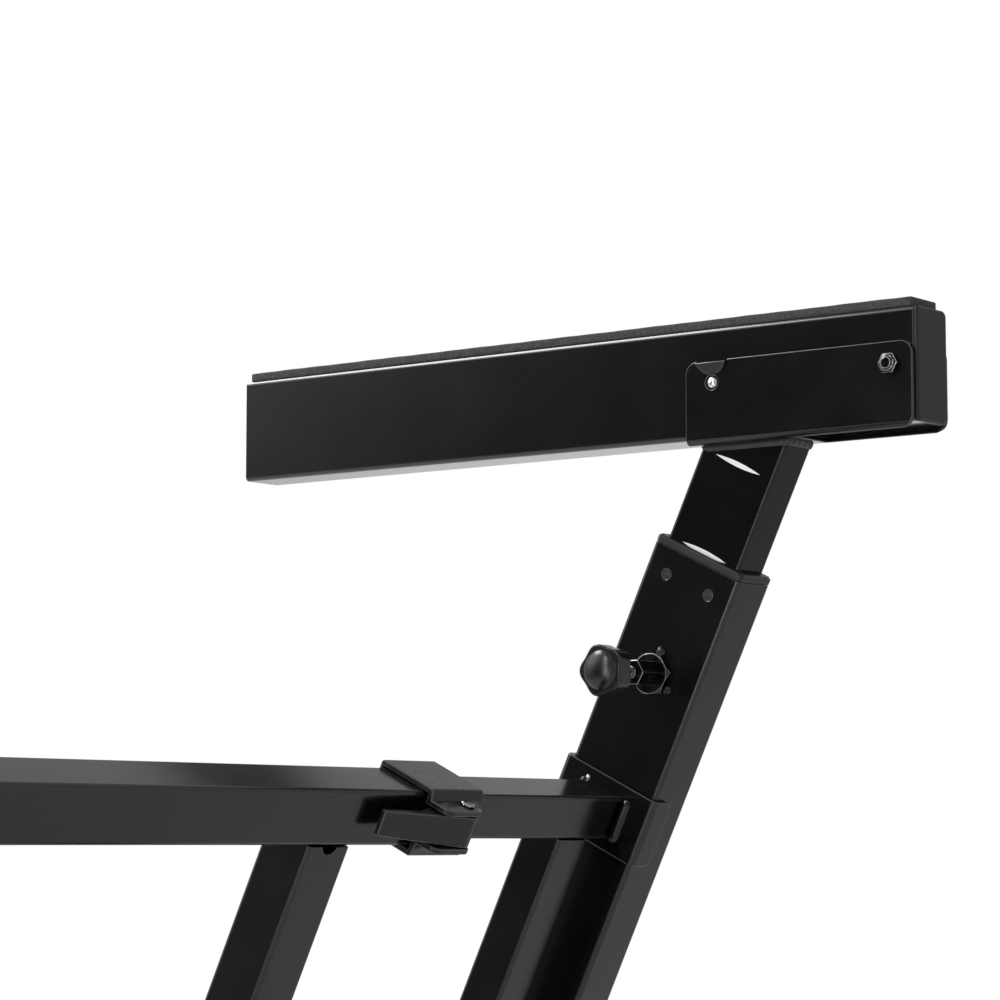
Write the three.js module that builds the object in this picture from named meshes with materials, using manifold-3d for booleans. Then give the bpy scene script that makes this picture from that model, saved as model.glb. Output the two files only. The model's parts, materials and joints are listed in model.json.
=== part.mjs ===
// Folding Z keyboard stand: two Z-shaped side assemblies joined by telescoping crossbars.
// Millimetres, +Z up, +X to one side, the player stands on the -Y side.
import * as THREE from 'three';
import { mergeVertices } from 'three/addons/utils/BufferGeometryUtils.js';
import Module from 'manifold-3d';

const wasm = await Module();
wasm.setup();

// Clearances
const FIT = 0.3;
const RUNNING_FIT = 0.3;
const LEAST_BORE_CORNER = 0.4;

// Arm: the rectangular tube that carries the keyboard, with foam on top, a flanged plug in its rear end
// and a plain one set inside its front end
const ARM_LENGTH = 460;
const ARM_HEIGHT = 60;
const ARM_WIDTH = 30;
const ARM_WALL = 1.5;
const ARM_CORNER = 2.6;
const FOAM_THICKNESS = 5;
const FOAM_SIDE_INSET = 2;
const FOAM_END_INSET = 2;
const FOAM_CORNER = 1.2;
const PLUG_FLANGE = 2.5;
const PLUG_DEPTH = 8;
const PLUG_CORNER = 1;
const FRONT_PLUG_DEPTH = 12;
const FRONT_PLUG_INSET = 1;

// Arm bracket: a U channel of folded sheet on top of the inner post
const BRACKET_SHEET = 3;
const BRACKET_TOP_DROP = 18;
const BRACKET_TAIL = 1;
const BRACKET_CORNER = 7;
const BRACKET_BEND = 4;
const SIDE_LEAD = 8;
const FLOOR_LEAD = 0.5;
const FLOOR_TAIL = 5;

// Pivot bolt of the arm, and the snap button that locks it
const PIVOT_SETBACK = 11.4;
const BOLT_RADIUS = 3;
const BOLT_HEAD_FLATS = 10;
const BOLT_HEAD_HEIGHT = 4;
const BOLT_TIP = 0.6;
const NUT_FLATS = 10;
const NUT_HEIGHT = 3.8;
const NUT_COLLAR_RADIUS = 4.3;
const NUT_COLLAR_HEIGHT = 1.2;
const BUTTON_INSET = 17;
const BUTTON_RADIUS = 3.6;
const BUTTON_PROUD = 0.5;
const BUTTON_CROWN = 0.25;
const BUTTON_EDGE = 1.25;
const BUTTON_FLANGE_RADIUS = 5.4;
const BUTTON_FLANGE = 1;
const LEAF_LENGTH = 70;
const LEAF_WIDTH = 10;
const LEAF_SHEET = 1;
const LIP_RADIUS = 10;
const LIP_DEPTH = 7.6;
const LIP_FLARE = 2.6;
const LIP_DROP = 1.1;

// Posts: the inner post slides in the outer post, which leans back towards the top
const POST_LEAN_DEG = 25.6;
const POST_RUN = 640;
const POST_SETBACK = 103.6;
const POST_DEPTH = 60;
const POST_WIDTH = 30;
const POST_WALL = 1.5;
const POST_CORNER = 2.6;
const SLIDE_DEPTH = 50;
const SLIDE_WIDTH = 24;
const SLIDE_WALL = 1.5;
const SLIDE_CORNER = 2.2;
const SLIDE_LENGTH = 480;
const COLLAR_DROP = 67.7;
const GLIDE_HEIGHT = 10;
const GLIDE_SHANK = 25;
const GLIDE_BORE = 6;

// Plastic collar at the top of the outer post
const RIM_HEIGHT = 4.3;
const RIM_CHAMFER = 1;
const RIM_LAND = 0.2;
const SLEEVE_LENGTH = 42;
const PEG_RADIUS = 3.1;
const PEG_PROUD = 0.6;
const PEG_SPACING = 29.6;
const PEG_DEPTH = 14;

// Index plunger and the row of holes that it locks into
const PLUNGER_DEPTH = 66;
const INDEX_PITCH = 50.8;
const STOPS_BELOW = 1;
const STOPS_ABOVE = 5;
const PIN_RADIUS = 3.9;
const PIN_REACH = 2.5;
const PIN_TIP_RADIUS = 2.7;
const SHAFT_RADIUS = 2.4;
const SHOULDER_OUT = 5;
const BASE_NUT_FLATS = 21.6;
const BASE_NUT_HEIGHT = 4;
const BASE_NUT_CHAMFER = 1.6;
const TACK_RADIUS = 3;
const TACK_CIRCLE = 13.1;
const TACK_COUNT = 3;
const TACK_SPREAD_DEG = 108;
const BODY_FLATS = 13;
const BODY_LENGTH = 16;
const BODY_STUB_RADIUS = 6;
const BODY_END_WALL = 3;
const BOSS_RADIUS = 3.4;
const BOSS_HEIGHT = 1.4;
const SPRING_WIRE = 0.4;
const SPRING_TURNS = 5;
const KNOB_STAND_OFF = 16.5;
const KNOB_HUB_RADIUS = 6;
const KNOB_HUB_HEIGHT = 4;
const KNOB_RADIUS = 14.2;
const KNOB_SCALLOP = 1.7;
const KNOB_LOBES = 5;
const KNOB_THICKNESS = 10.5;
const KNOB_EDGE = 1;
const KNOB_CAP_RADIUS = 10;
const KNOB_CAP_RISE = 2.4;
const KNOB_SOCKET = 8;

// Crossbars and struts
const BAR_SIZE = 30;
const BAR_CORNER = 2.4;
const BAR_LENGTH = 500;
const INNER_BAR_SIZE = 25;
const INNER_BAR_WALL = 1.5;
const INNER_BAR_CORNER = 2.2;
const BAR_REACH = 137;
const BAR_OVERLAP = 165;
const BAR_DROP = 218.6;
const LOWER_BAR_RISE = 50;
const STRUT_WALL = 2;
const STRUT_GAP = 0.5;
const STRUT_SPACING = 305.3;
const STRUT_NOTCH_RADIUS = 5.5;
const STRUT_NOTCH_DEPTH = 4;
const SIDE_STRUT_STAND_OFF = 21;
const SIDE_STRUT_GAP = 0.3;

// Saddle: the folded plate that wraps the outer post and carries the inner crossbar
const SADDLE_SHEET = 2.7;
const SADDLE_HEIGHT = 38;
const SADDLE_WRAP = 12.6;
const SADDLE_BEND = 3.5;
const SADDLE_CORNER = 4;
const BEAD_RADIUS = 2.8;
const BEAD_PROUD = 2.4;

// Quick-lock clamp on each end of the upper outer crossbar
const CLAMP_LENGTH = 41;
const CLAMP_SHEET = 3;
const CLAMP_FRONT_SHEET = 1.6;
const CLAMP_BEND = 1.5;
const EAR_LENGTH = 29;
const EAR_REACH = 19;
const EAR_CORNER = 5;
const EAR_GAP = 17.6;
const EAR_OFFSET = 1.2;
const EAR_STEP = 2.4;
const CLAMP_PIN_SETBACK = 11.5;
const CLAMP_PIN_INSET = 7;
const CLAMP_PIN_RADIUS = 3;
const CLAMP_PIN_HEAD_RADIUS = 4.4;
const CLAMP_PIN_HEAD = 1.4;
const CLAMP_PIN_CROWN_RADIUS = 3.5;
const LEVER_HEIGHT = 16.2;
const LEVER_TIP_HEIGHT = 13.5;
const LEVER_LENGTH = 57;
const LEVER_TIP_DROP = 3.5;
const LEVER_TIP_THICKNESS = 2.8;
const LEVER_HEAD_RADIUS = 7.5;
const CAM_GAP = 0.5;
const CAM_NOSE = 6;
const CAM_HEEL = 2.4;
const CAM_END_DEG = 225;
const LEVER_NECK_REACH = 30;
const LEVER_NECK_THICKNESS = 5.2;

// Foot: a rectangular tube on the floor with a rubber shoe on each end
const FOOT_LENGTH = 490;
const FOOT_HEIGHT = 60;
const FOOT_WIDTH = 30;
const FOOT_WALL = 1.5;
const FOOT_CORNER = 2.6;
const POST_TOE = 95;
const SHOE_SOLE = 8;
const SHOE_WALL = 3;
const SHOE_END = 5;
const SHOE_LENGTH = 45;
const SHOE_CORNER = 4;

// Facets
const CORNER_STEPS = 3;
const ROUND_STEPS = 20;
const SMALL_STEPS = 12;
const WIRE_STEPS = 5;
const TURN_STEPS = 8;
const LOBE_STEPS = 8;
const CAP_STEPS = 4;
const BEAD_END_STEPS = 2;
const CHAMFER_STEPS = 1;
const KNOB_EDGE_STEPS = 2;
const WELD_DISTANCE = 1e-4;

// Materials
const paint = (color, roughness) => new THREE.MeshStandardMaterial({ color, roughness, metalness: 0.4 });
const satinBlack = paint(0x17181b, 0.42);
const glossBlack = paint(0x0f1012, 0.25);
const clampBlack = paint(0x1b1d20, 0.5);
const plastic = new THREE.MeshStandardMaterial({ color: 0x1a1b1d, roughness: 0.62, metalness: 0 });
const rubber = new THREE.MeshStandardMaterial({ color: 0x141414, roughness: 0.9, metalness: 0 });
const foam = new THREE.MeshStandardMaterial({ color: 0x2b2b2d, roughness: 0.95, metalness: 0 });
const zinc = new THREE.MeshStandardMaterial({ color: 0xc4c7ca, roughness: 0.28, metalness: 1 });
const blackSteel = new THREE.MeshStandardMaterial({ color: 0x1c1c1e, roughness: 0.25, metalness: 0.9 });

// Derived places
const half = (size) => size / 2;
const lean = THREE.MathUtils.degToRad(POST_LEAN_DEG);
const leanCos = Math.cos(lean);
const leanSin = Math.sin(lean);
const footTop = SHOE_SOLE + FIT + FOOT_HEIGHT;
const armBottom = footTop + POST_RUN * leanCos;
const armTop = armBottom + ARM_HEIGHT;
const armMiddle = armBottom + half(ARM_HEIGHT);
const postTopAhead = POST_RUN * leanSin;
const armRearFromFoot = postTopAhead + POST_SETBACK;
const shoeLap = FIT + SHOE_END;
const plugLap = FIT + PLUG_FLANGE;
const frontMost = Math.min(-POST_TOE - shoeLap, armRearFromFoot - ARM_LENGTH);
const rearMost = Math.max(FOOT_LENGTH - POST_TOE + shoeLap, armRearFromFoot + plugLap);
const postFootY = -half(frontMost + rearMost);
const postTopY = postFootY + postTopAhead;
const armRearY = postFootY + armRearFromFoot;
const armFrontY = armRearY - ARM_LENGTH;
const halfSpan = half(BAR_LENGTH) + BAR_REACH + half(POST_WIDTH);

// Heights along the post axis, measured up from the top of the foot
const collarTop = POST_RUN - COLLAR_DROP;
const outerPostTop = collarTop - RIM_HEIGHT - FIT;
const plungerRise = outerPostTop - PLUNGER_DEPTH;
const slideBottom = POST_RUN - SLIDE_LENGTH;
const upperBarRise = POST_RUN - BAR_DROP;

// A closed geometry as a solid, and back
function solid(geometry) {
  const bare = geometry.clone();
  bare.deleteAttribute('normal');
  bare.deleteAttribute('uv');
  const merged = mergeVertices(bare, WELD_DISTANCE);
  const vertProperties = new Float32Array(merged.attributes.position.array);
  const triVerts = new Uint32Array(merged.index.array);
  return new wasm.Manifold(new wasm.Mesh({ numProp: 3, vertProperties, triVerts }));
}

function surface(body) {
  const mesh = body.getMesh();
  const geometry = new THREE.BufferGeometry();
  geometry.setAttribute('position', new THREE.BufferAttribute(new Float32Array(mesh.vertProperties), 3));
  geometry.setIndex(new THREE.BufferAttribute(new Uint32Array(mesh.triVerts), 1));
  return geometry;
}

const join = (first, ...others) => others.reduce((sum, other) => sum.add(other), first);
const cut = (first, ...others) => others.reduce((rest, other) => rest.subtract(other), first);

// A geometry reflected across the plane x = 0, with its faces still pointing out
function mirrored(geometry) {
  const flipped = mergeVertices(geometry.clone(), WELD_DISTANCE);
  const position = flipped.attributes.position;
  for (let i = 0; i < position.count; i += 1) position.setX(i, -position.getX(i));
  const index = flipped.index.array;
  for (let i = 0; i < index.length; i += 3) {
    const second = index[i + 1];
    index[i + 1] = index[i + 2];
    index[i + 2] = second;
  }
  return flipped;
}

// A rectangle with rounded corners, centred on the origin
function roundedRectangle(width, height, radius, path = new THREE.Shape()) {
  const x = half(width) - radius;
  const y = half(height) - radius;
  const quarter = Math.PI / 2;
  path.moveTo(x + radius, -y);
  path.lineTo(x + radius, y);
  path.absarc(x, y, radius, 0, quarter, false);
  path.lineTo(-x, y + radius);
  path.absarc(-x, y, radius, quarter, 2 * quarter, false);
  path.lineTo(-x - radius, -y);
  path.absarc(-x, -y, radius, 2 * quarter, 3 * quarter, false);
  path.lineTo(x, -y - radius);
  path.absarc(x, -y, radius, 3 * quarter, 4 * quarter, false);
  return path;
}

// A prism from z = 0 up to the given length
function prism(shape, length, curveSegments = CORNER_STEPS) {
  return new THREE.ExtrudeGeometry(shape, { depth: length, bevelEnabled: false, curveSegments });
}

function bar(width, height, radius, length) {
  return prism(roundedRectangle(width, height, radius), length);
}

// A rectangular tube with open ends
function tube(width, height, wall, radius, length) {
  const shape = roundedRectangle(width, height, radius);
  const innerRadius = Math.max(radius - wall, LEAST_BORE_CORNER);
  shape.holes.push(roundedRectangle(width - 2 * wall, height - 2 * wall, innerRadius, new THREE.Path()));
  return prism(shape, length);
}

function box(x0, x1, y0, y1, z0, z1) {
  const geometry = new THREE.BoxGeometry(x1 - x0, y1 - y0, z1 - z0);
  return geometry.translate(half(x0 + x1), half(y0 + y1), half(z0 + z1));
}

// Lays a prism drawn in (y, z) and grown along z down along +x
function alongX(geometry) {
  const basis = new THREE.Matrix4().makeBasis(
    new THREE.Vector3(0, 1, 0),
    new THREE.Vector3(0, 0, 1),
    new THREE.Vector3(1, 0, 0),
  );
  return geometry.applyMatrix4(basis);
}

// Lays a prism drawn in (x, z) and grown along z down along -y, then moves its far end to y1
const alongY = (geometry, y1) => geometry.rotateX(Math.PI / 2).translate(0, y1, 0);

// A round bar along x from x0 to x1
function roundX(radius, x0, x1, y, z, steps = SMALL_STEPS) {
  const geometry = new THREE.CylinderGeometry(radius, radius, x1 - x0, steps);
  return geometry.rotateZ(Math.PI / 2).translate(half(x0 + x1), y, z);
}

// A hexagonal bar along x, with two of its corners level along y
function hexX(flats, x0, x1, y, z, turn = 0) {
  const radius = half(flats) / Math.cos(Math.PI / 6);
  const geometry = new THREE.CylinderGeometry(radius, radius, x1 - x0, 6);
  geometry.rotateY(Math.PI / 2).rotateZ(Math.PI / 2).rotateX(turn);
  return geometry.translate(half(x0 + x1), y, z);
}

// A turned profile, drawn as (radius, distance along x), spun around the x axis
function turnedX(profile, steps, y, z) {
  const points = profile.map(([radius, x]) => new THREE.Vector2(radius, -x)).reverse();
  return new THREE.LatheGeometry(points, steps).rotateZ(Math.PI / 2).translate(0, y, z);
}

// A wedge-shaped cutter that removes everything beyond a level plane at height z, tilted with the post
function levelCutter(height, above, size) {
  const low = above ? 0 : -size;
  const cutter = box(-size, size, -size, size, low, low + size);
  cutter.rotateX(lean);
  const rise = (height - footTop) / leanCos;
  return solid(cutter.translate(0, 0, rise));
}

const stand = new THREE.Group();
stand.name = 'z_keyboard_stand';

function place(parent, name, geometry, material) {
  const mesh = new THREE.Mesh(geometry, material.clone());
  mesh.name = name;
  parent.add(mesh);
  return mesh;
}

// The pieces of one side, drawn with the stand's middle towards +x, as [name, frame, geometry, material]
const LEVEL = 'level';
const LEANING = 'leaning';
const sidePieces = [];
const add = (name, frame, geometry, material) => sidePieces.push({ name, frame, geometry, material });

// Foot tube and its rubber shoes
const footFrontY = postFootY - POST_TOE;
const footRearY = footFrontY + FOOT_LENGTH;
const footMiddleZ = SHOE_SOLE + FIT + half(FOOT_HEIGHT);
const footTube = tube(FOOT_WIDTH, FOOT_HEIGHT, FOOT_WALL, FOOT_CORNER, FOOT_LENGTH);
add('foot_tube', LEVEL, alongY(footTube, footRearY).translate(0, 0, footMiddleZ), satinBlack);

const shoeWidth = FOOT_WIDTH + 2 * (FIT + SHOE_WALL);
const shoeHeight = SHOE_SOLE + FOOT_HEIGHT + 2 * FIT + SHOE_WALL;
function shoe(endY, outward) {
  const outerY = endY + outward * (FIT + SHOE_END);
  const innerY = outerY - outward * SHOE_LENGTH;
  const block = bar(shoeWidth, shoeHeight, SHOE_CORNER, SHOE_LENGTH);
  alongY(block, Math.max(outerY, innerY)).translate(0, 0, half(shoeHeight));
  const pocketWidth = FOOT_WIDTH + 2 * FIT;
  const pocketHeight = FOOT_HEIGHT + 2 * FIT;
  const pocket = bar(pocketWidth, pocketHeight, FOOT_CORNER + FIT, SHOE_LENGTH);
  const pocketNear = endY + outward * FIT;
  const pocketFar = pocketNear - outward * SHOE_LENGTH;
  alongY(pocket, Math.max(pocketNear, pocketFar)).translate(0, 0, footMiddleZ);
  return surface(cut(solid(block), solid(pocket)));
}
add('foot_shoe_front', LEVEL, shoe(footFrontY, -1), rubber);
add('foot_shoe_rear', LEVEL, shoe(footRearY, 1), rubber);

// Outer post, cut level to stand on the foot, with holes for the collar pegs and the index pin
const postFace = half(POST_WIDTH);
const postSpare = POST_DEPTH;
const pinHoleRadius = PIN_RADIUS + RUNNING_FIT;
const pegHoleRadius = PEG_RADIUS + FIT;
const pegRise = outerPostTop - PEG_DEPTH;
const throughWall = POST_WALL + FIT;
function outerPost() {
  const blank = tube(POST_WIDTH, POST_DEPTH, POST_WALL, POST_CORNER, outerPostTop + postSpare);
  const holeStart = postFace - throughWall;
  const holeEnd = postFace + throughWall;
  const pinHole = roundX(pinHoleRadius, holeStart, holeEnd, 0, plungerRise, ROUND_STEPS);
  const pegHoles = [-1, 1].map((side) => {
    const q = side * half(PEG_SPACING);
    return solid(roundX(pegHoleRadius, holeStart, holeEnd, q, pegRise, ROUND_STEPS));
  });
  const body = solid(blank.translate(0, 0, -postSpare));
  return surface(cut(body, levelCutter(footTop + FIT, false, postSpare * 2), solid(pinHole), ...pegHoles));
}
add('outer_post', LEANING, outerPost(), satinBlack);

// Collar: a rim on the post's end, a thin sleeve down inside it, and two pegs in the post's holes
const windowWidth = SLIDE_WIDTH + 2 * RUNNING_FIT;
const windowDepth = SLIDE_DEPTH + 2 * RUNNING_FIT;
const postBoreWidth = POST_WIDTH - 2 * POST_WALL;
const postBoreDepth = POST_DEPTH - 2 * POST_WALL;
function collar() {
  const rimLow = outerPostTop + FIT;
  const straight = RIM_HEIGHT - RIM_CHAMFER;
  const rim = bar(POST_WIDTH, POST_DEPTH, POST_CORNER, straight).translate(0, 0, rimLow);
  const topWidth = POST_WIDTH - 2 * RIM_CHAMFER;
  const topDepth = POST_DEPTH - 2 * RIM_CHAMFER;
  const topShape = roundedRectangle(topWidth, topDepth, POST_CORNER);
  const top = new THREE.ExtrudeGeometry(topShape, {
    depth: RIM_LAND,
    bevelEnabled: true,
    bevelThickness: RIM_CHAMFER - RIM_LAND,
    bevelSize: RIM_CHAMFER,
    bevelSegments: CHAMFER_STEPS,
    curveSegments: CORNER_STEPS,
  });
  top.translate(0, 0, collarTop - RIM_CHAMFER);
  const sleeveTop = rimLow + half(straight);
  const trim = box(-POST_DEPTH, POST_DEPTH, -POST_DEPTH, POST_DEPTH, 0, sleeveTop);
  const capped = cut(solid(top), solid(trim));
  const sleeveLow = outerPostTop - SLEEVE_LENGTH;
  const sleeveWidth = postBoreWidth - 2 * FIT;
  const sleeveDepth = postBoreDepth - 2 * FIT;
  const sleeve = bar(sleeveWidth, sleeveDepth, POST_CORNER - POST_WALL, sleeveTop - sleeveLow);
  sleeve.translate(0, 0, sleeveLow);
  const windowLength = 2 * SLEEVE_LENGTH;
  const window = bar(windowWidth, windowDepth, SLIDE_CORNER + RUNNING_FIT, windowLength);
  window.translate(0, 0, collarTop + half(SLEEVE_LENGTH) - windowLength);
  const pegStart = half(postBoreWidth) - 2 * FIT;
  const pegs = [-1, 1].map((side) => {
    const q = side * half(PEG_SPACING);
    return solid(roundX(PEG_RADIUS, pegStart, postFace + PEG_PROUD, q, pegRise, ROUND_STEPS));
  });
  return surface(join(cut(join(solid(rim), capped, solid(sleeve)), solid(window)), ...pegs));
}
add('post_collar', LEANING, collar(), plastic);

// Inner post, cut level under the arm bracket, with a row of index holes on its inner face
const bracketFloorZ = armBottom - FIT - BRACKET_SHEET;
const slideFace = half(SLIDE_WIDTH);
const indexHoleRadius = PIN_RADIUS + 2 * RUNNING_FIT;
function innerPost() {
  const blank = tube(SLIDE_WIDTH, SLIDE_DEPTH, SLIDE_WALL, SLIDE_CORNER, SLIDE_LENGTH + postSpare);
  const holes = [];
  for (let stop = -STOPS_BELOW; stop <= STOPS_ABOVE; stop += 1) {
    const rise = plungerRise - stop * INDEX_PITCH;
    const reach = SLIDE_WALL + FIT;
    holes.push(solid(roundX(indexHoleRadius, slideFace - reach, slideFace + reach, 0, rise, ROUND_STEPS)));
  }
  const body = solid(blank.translate(0, 0, slideBottom));
  return surface(cut(body, levelCutter(bracketFloorZ - FIT, true, postSpare * 2), ...holes));
}
add('inner_post', LEANING, innerPost(), satinBlack);

// Plastic glide in the inner post's lower end
function glide() {
  const footWidth = postBoreWidth - 2 * RUNNING_FIT;
  const footDepth = postBoreDepth - 2 * RUNNING_FIT;
  const foot = bar(footWidth, footDepth, POST_CORNER - POST_WALL, GLIDE_HEIGHT);
  foot.translate(0, 0, slideBottom - FIT - GLIDE_HEIGHT);
  const shankWidth = SLIDE_WIDTH - 2 * (SLIDE_WALL + FIT);
  const shankDepth = SLIDE_DEPTH - 2 * (SLIDE_WALL + FIT);
  const shankLow = slideBottom - FIT - half(GLIDE_HEIGHT);
  const shank = bar(shankWidth, shankDepth, SLIDE_CORNER - SLIDE_WALL, GLIDE_SHANK);
  shank.translate(0, 0, shankLow);
  const bore = new THREE.CylinderGeometry(GLIDE_BORE, GLIDE_BORE, SLIDE_LENGTH, ROUND_STEPS);
  bore.rotateX(Math.PI / 2).translate(0, 0, slideBottom);
  return surface(cut(join(solid(foot), solid(shank)), solid(bore)));
}
add('post_glide', LEANING, glide(), plastic);

// Index plunger: a nut tacked to the post, a hexagonal body with a boss, a spring, the pin and its knob
const nutStart = postFace + FIT;
const nutEnd = nutStart + BASE_NUT_HEIGHT;
const bodyStart = nutEnd + FIT;
const bodyEnd = bodyStart + BODY_LENGTH;
const bossEnd = bodyEnd + BOSS_HEIGHT;
function baseNut() {
  const nut = solid(hexX(BASE_NUT_FLATS, nutStart, nutEnd, 0, plungerRise, lean));
  const faceRadius = half(BASE_NUT_FLATS);
  const cone = turnedX([
    [0, nutStart - FIT],
    [2 * faceRadius, nutStart - FIT],
    [2 * faceRadius, nutEnd - BASE_NUT_CHAMFER],
    [faceRadius + BASE_NUT_CHAMFER, nutEnd - BASE_NUT_CHAMFER],
    [faceRadius, nutEnd],
    [0, nutEnd],
  ], 2 * ROUND_STEPS, 0, plungerRise);
  const chamfered = nut.intersect(solid(cone));
  const tacks = [];
  for (let tack = 0; tack < TACK_COUNT; tack += 1) {
    const turn = (tack - half(TACK_COUNT - 1)) * THREE.MathUtils.degToRad(TACK_SPREAD_DEG);
    const angle = half(Math.PI) + turn;
    const ball = new THREE.SphereGeometry(TACK_RADIUS, SMALL_STEPS, half(SMALL_STEPS));
    ball.translate(nutStart, TACK_CIRCLE * Math.cos(angle), plungerRise + TACK_CIRCLE * Math.sin(angle));
    const trim = box(nutStart - TACK_RADIUS * 2, nutStart, -TACK_CIRCLE * 2, TACK_CIRCLE * 2,
      plungerRise - TACK_CIRCLE * 2, plungerRise + TACK_CIRCLE * 2);
    tacks.push(cut(solid(ball), solid(trim)));
  }
  const bore = roundX(BODY_STUB_RADIUS + FIT, nutStart - FIT, nutEnd + FIT, 0, plungerRise, ROUND_STEPS);
  return surface(cut(join(chamfered, ...tacks), solid(bore)));
}
add('plunger_nut', LEANING, baseNut(), blackSteel);

const pinBoreRadius = PIN_RADIUS + RUNNING_FIT;
const springStart = postFace + SHOULDER_OUT + FIT;
const springEnd = bodyEnd - BODY_END_WALL - FIT;
function plungerBody() {
  const stub = roundX(BODY_STUB_RADIUS, nutStart, bodyStart + FIT, 0, plungerRise, ROUND_STEPS);
  const hex = hexX(BODY_FLATS, bodyStart, bodyEnd, 0, plungerRise, lean);
  const boss = roundX(BOSS_RADIUS, bodyEnd - FIT, bossEnd, 0, plungerRise, ROUND_STEPS);
  const bore = roundX(pinBoreRadius, nutStart - FIT, bodyEnd - BODY_END_WALL, 0, plungerRise, ROUND_STEPS);
  const neck = roundX(SHAFT_RADIUS + RUNNING_FIT, nutStart, bossEnd + FIT, 0, plungerRise, ROUND_STEPS);
  return surface(cut(join(solid(stub), solid(hex), solid(boss)), solid(bore), solid(neck)));
}
add('plunger_body', LEANING, plungerBody(), blackSteel);

// Coil spring around the shaft, one unbroken wire inside the body
class Coil extends THREE.Curve {
  constructor(radius, start, end, turns, rise) {
    super();
    Object.assign(this, { radius, start, end, turns, rise });
  }

  getPoint(t, target = new THREE.Vector3()) {
    const angle = t * this.turns * 2 * Math.PI;
    const x = this.start + t * (this.end - this.start);
    return target.set(x, this.radius * Math.cos(angle), this.rise + this.radius * Math.sin(angle));
  }
}
function plungerSpring() {
  const coilRadius = half(SHAFT_RADIUS + pinBoreRadius);
  const wire = new THREE.Shape();
  for (let step = 0; step < WIRE_STEPS; step += 1) {
    const angle = (step * 2 * Math.PI) / WIRE_STEPS;
    const point = [SPRING_WIRE * Math.cos(angle), SPRING_WIRE * Math.sin(angle)];
    if (step === 0) wire.moveTo(...point);
    else wire.lineTo(...point);
  }
  const first = springStart + SPRING_WIRE;
  const last = springEnd - SPRING_WIRE;
  const extrudePath = new Coil(coilRadius, first, last, SPRING_TURNS, plungerRise);
  return new THREE.ExtrudeGeometry(wire, { steps: SPRING_TURNS * TURN_STEPS, extrudePath });
}
add('plunger_spring', LEANING, plungerSpring(), zinc);

const pinTip = slideFace - PIN_REACH;
const knobStart = bossEnd + KNOB_STAND_OFF - KNOB_HUB_HEIGHT;
const knobBack = bossEnd + KNOB_STAND_OFF;
const knobFront = knobBack + KNOB_THICKNESS;
const socketStart = knobBack - half(KNOB_HUB_HEIGHT);
function indexPin() {
  const shoulder = postFace + SHOULDER_OUT;
  return turnedX([
    [0, pinTip],
    [PIN_TIP_RADIUS, pinTip],
    [PIN_RADIUS, pinTip + PIN_RADIUS - PIN_TIP_RADIUS],
    [PIN_RADIUS, shoulder],
    [SHAFT_RADIUS, shoulder],
    [SHAFT_RADIUS, socketStart + KNOB_SOCKET],
    [0, socketStart + KNOB_SOCKET],
  ], ROUND_STEPS, 0, plungerRise);
}
add('index_pin', LEANING, indexPin(), zinc);

function indexKnob() {
  const outline = new THREE.Shape();
  const count = KNOB_LOBES * LOBE_STEPS;
  for (let step = 0; step < count; step += 1) {
    const angle = (step * 2 * Math.PI) / count;
    const radius = KNOB_RADIUS - KNOB_EDGE - half(KNOB_SCALLOP) * (1 - Math.cos(KNOB_LOBES * angle));
    const turned = angle + Math.PI + lean;
    const point = [radius * Math.cos(turned), radius * Math.sin(turned)];
    if (step === 0) outline.moveTo(...point);
    else outline.lineTo(...point);
  }
  const wheel = new THREE.ExtrudeGeometry(outline, {
    depth: KNOB_THICKNESS - 2 * KNOB_EDGE,
    bevelEnabled: true,
    bevelThickness: KNOB_EDGE,
    bevelSize: KNOB_EDGE,
    bevelSegments: KNOB_EDGE_STEPS,
  });
  alongX(wheel).translate(knobBack + KNOB_EDGE, 0, plungerRise);
  const hub = roundX(KNOB_HUB_RADIUS, knobStart, knobBack + KNOB_EDGE, 0, plungerRise, ROUND_STEPS);
  const capProfile = [[0, knobFront - KNOB_EDGE], [KNOB_CAP_RADIUS, knobFront - KNOB_EDGE]];
  for (let step = 0; step <= CAP_STEPS; step += 1) {
    const angle = (half(Math.PI) * step) / CAP_STEPS;
    const radius = step === CAP_STEPS ? 0 : KNOB_CAP_RADIUS * Math.cos(angle);
    capProfile.push([radius, knobFront + KNOB_CAP_RISE * Math.sin(angle)]);
  }
  const cap = turnedX(capProfile, ROUND_STEPS, 0, plungerRise);
  const socketEnd = socketStart + KNOB_SOCKET + FIT;
  const socket = roundX(SHAFT_RADIUS + FIT, knobStart - FIT, socketEnd, 0, plungerRise, ROUND_STEPS);
  return surface(cut(join(solid(wheel), solid(hub), solid(cap)), solid(socket)));
}
add('index_knob', LEANING, indexKnob(), plastic);

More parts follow.
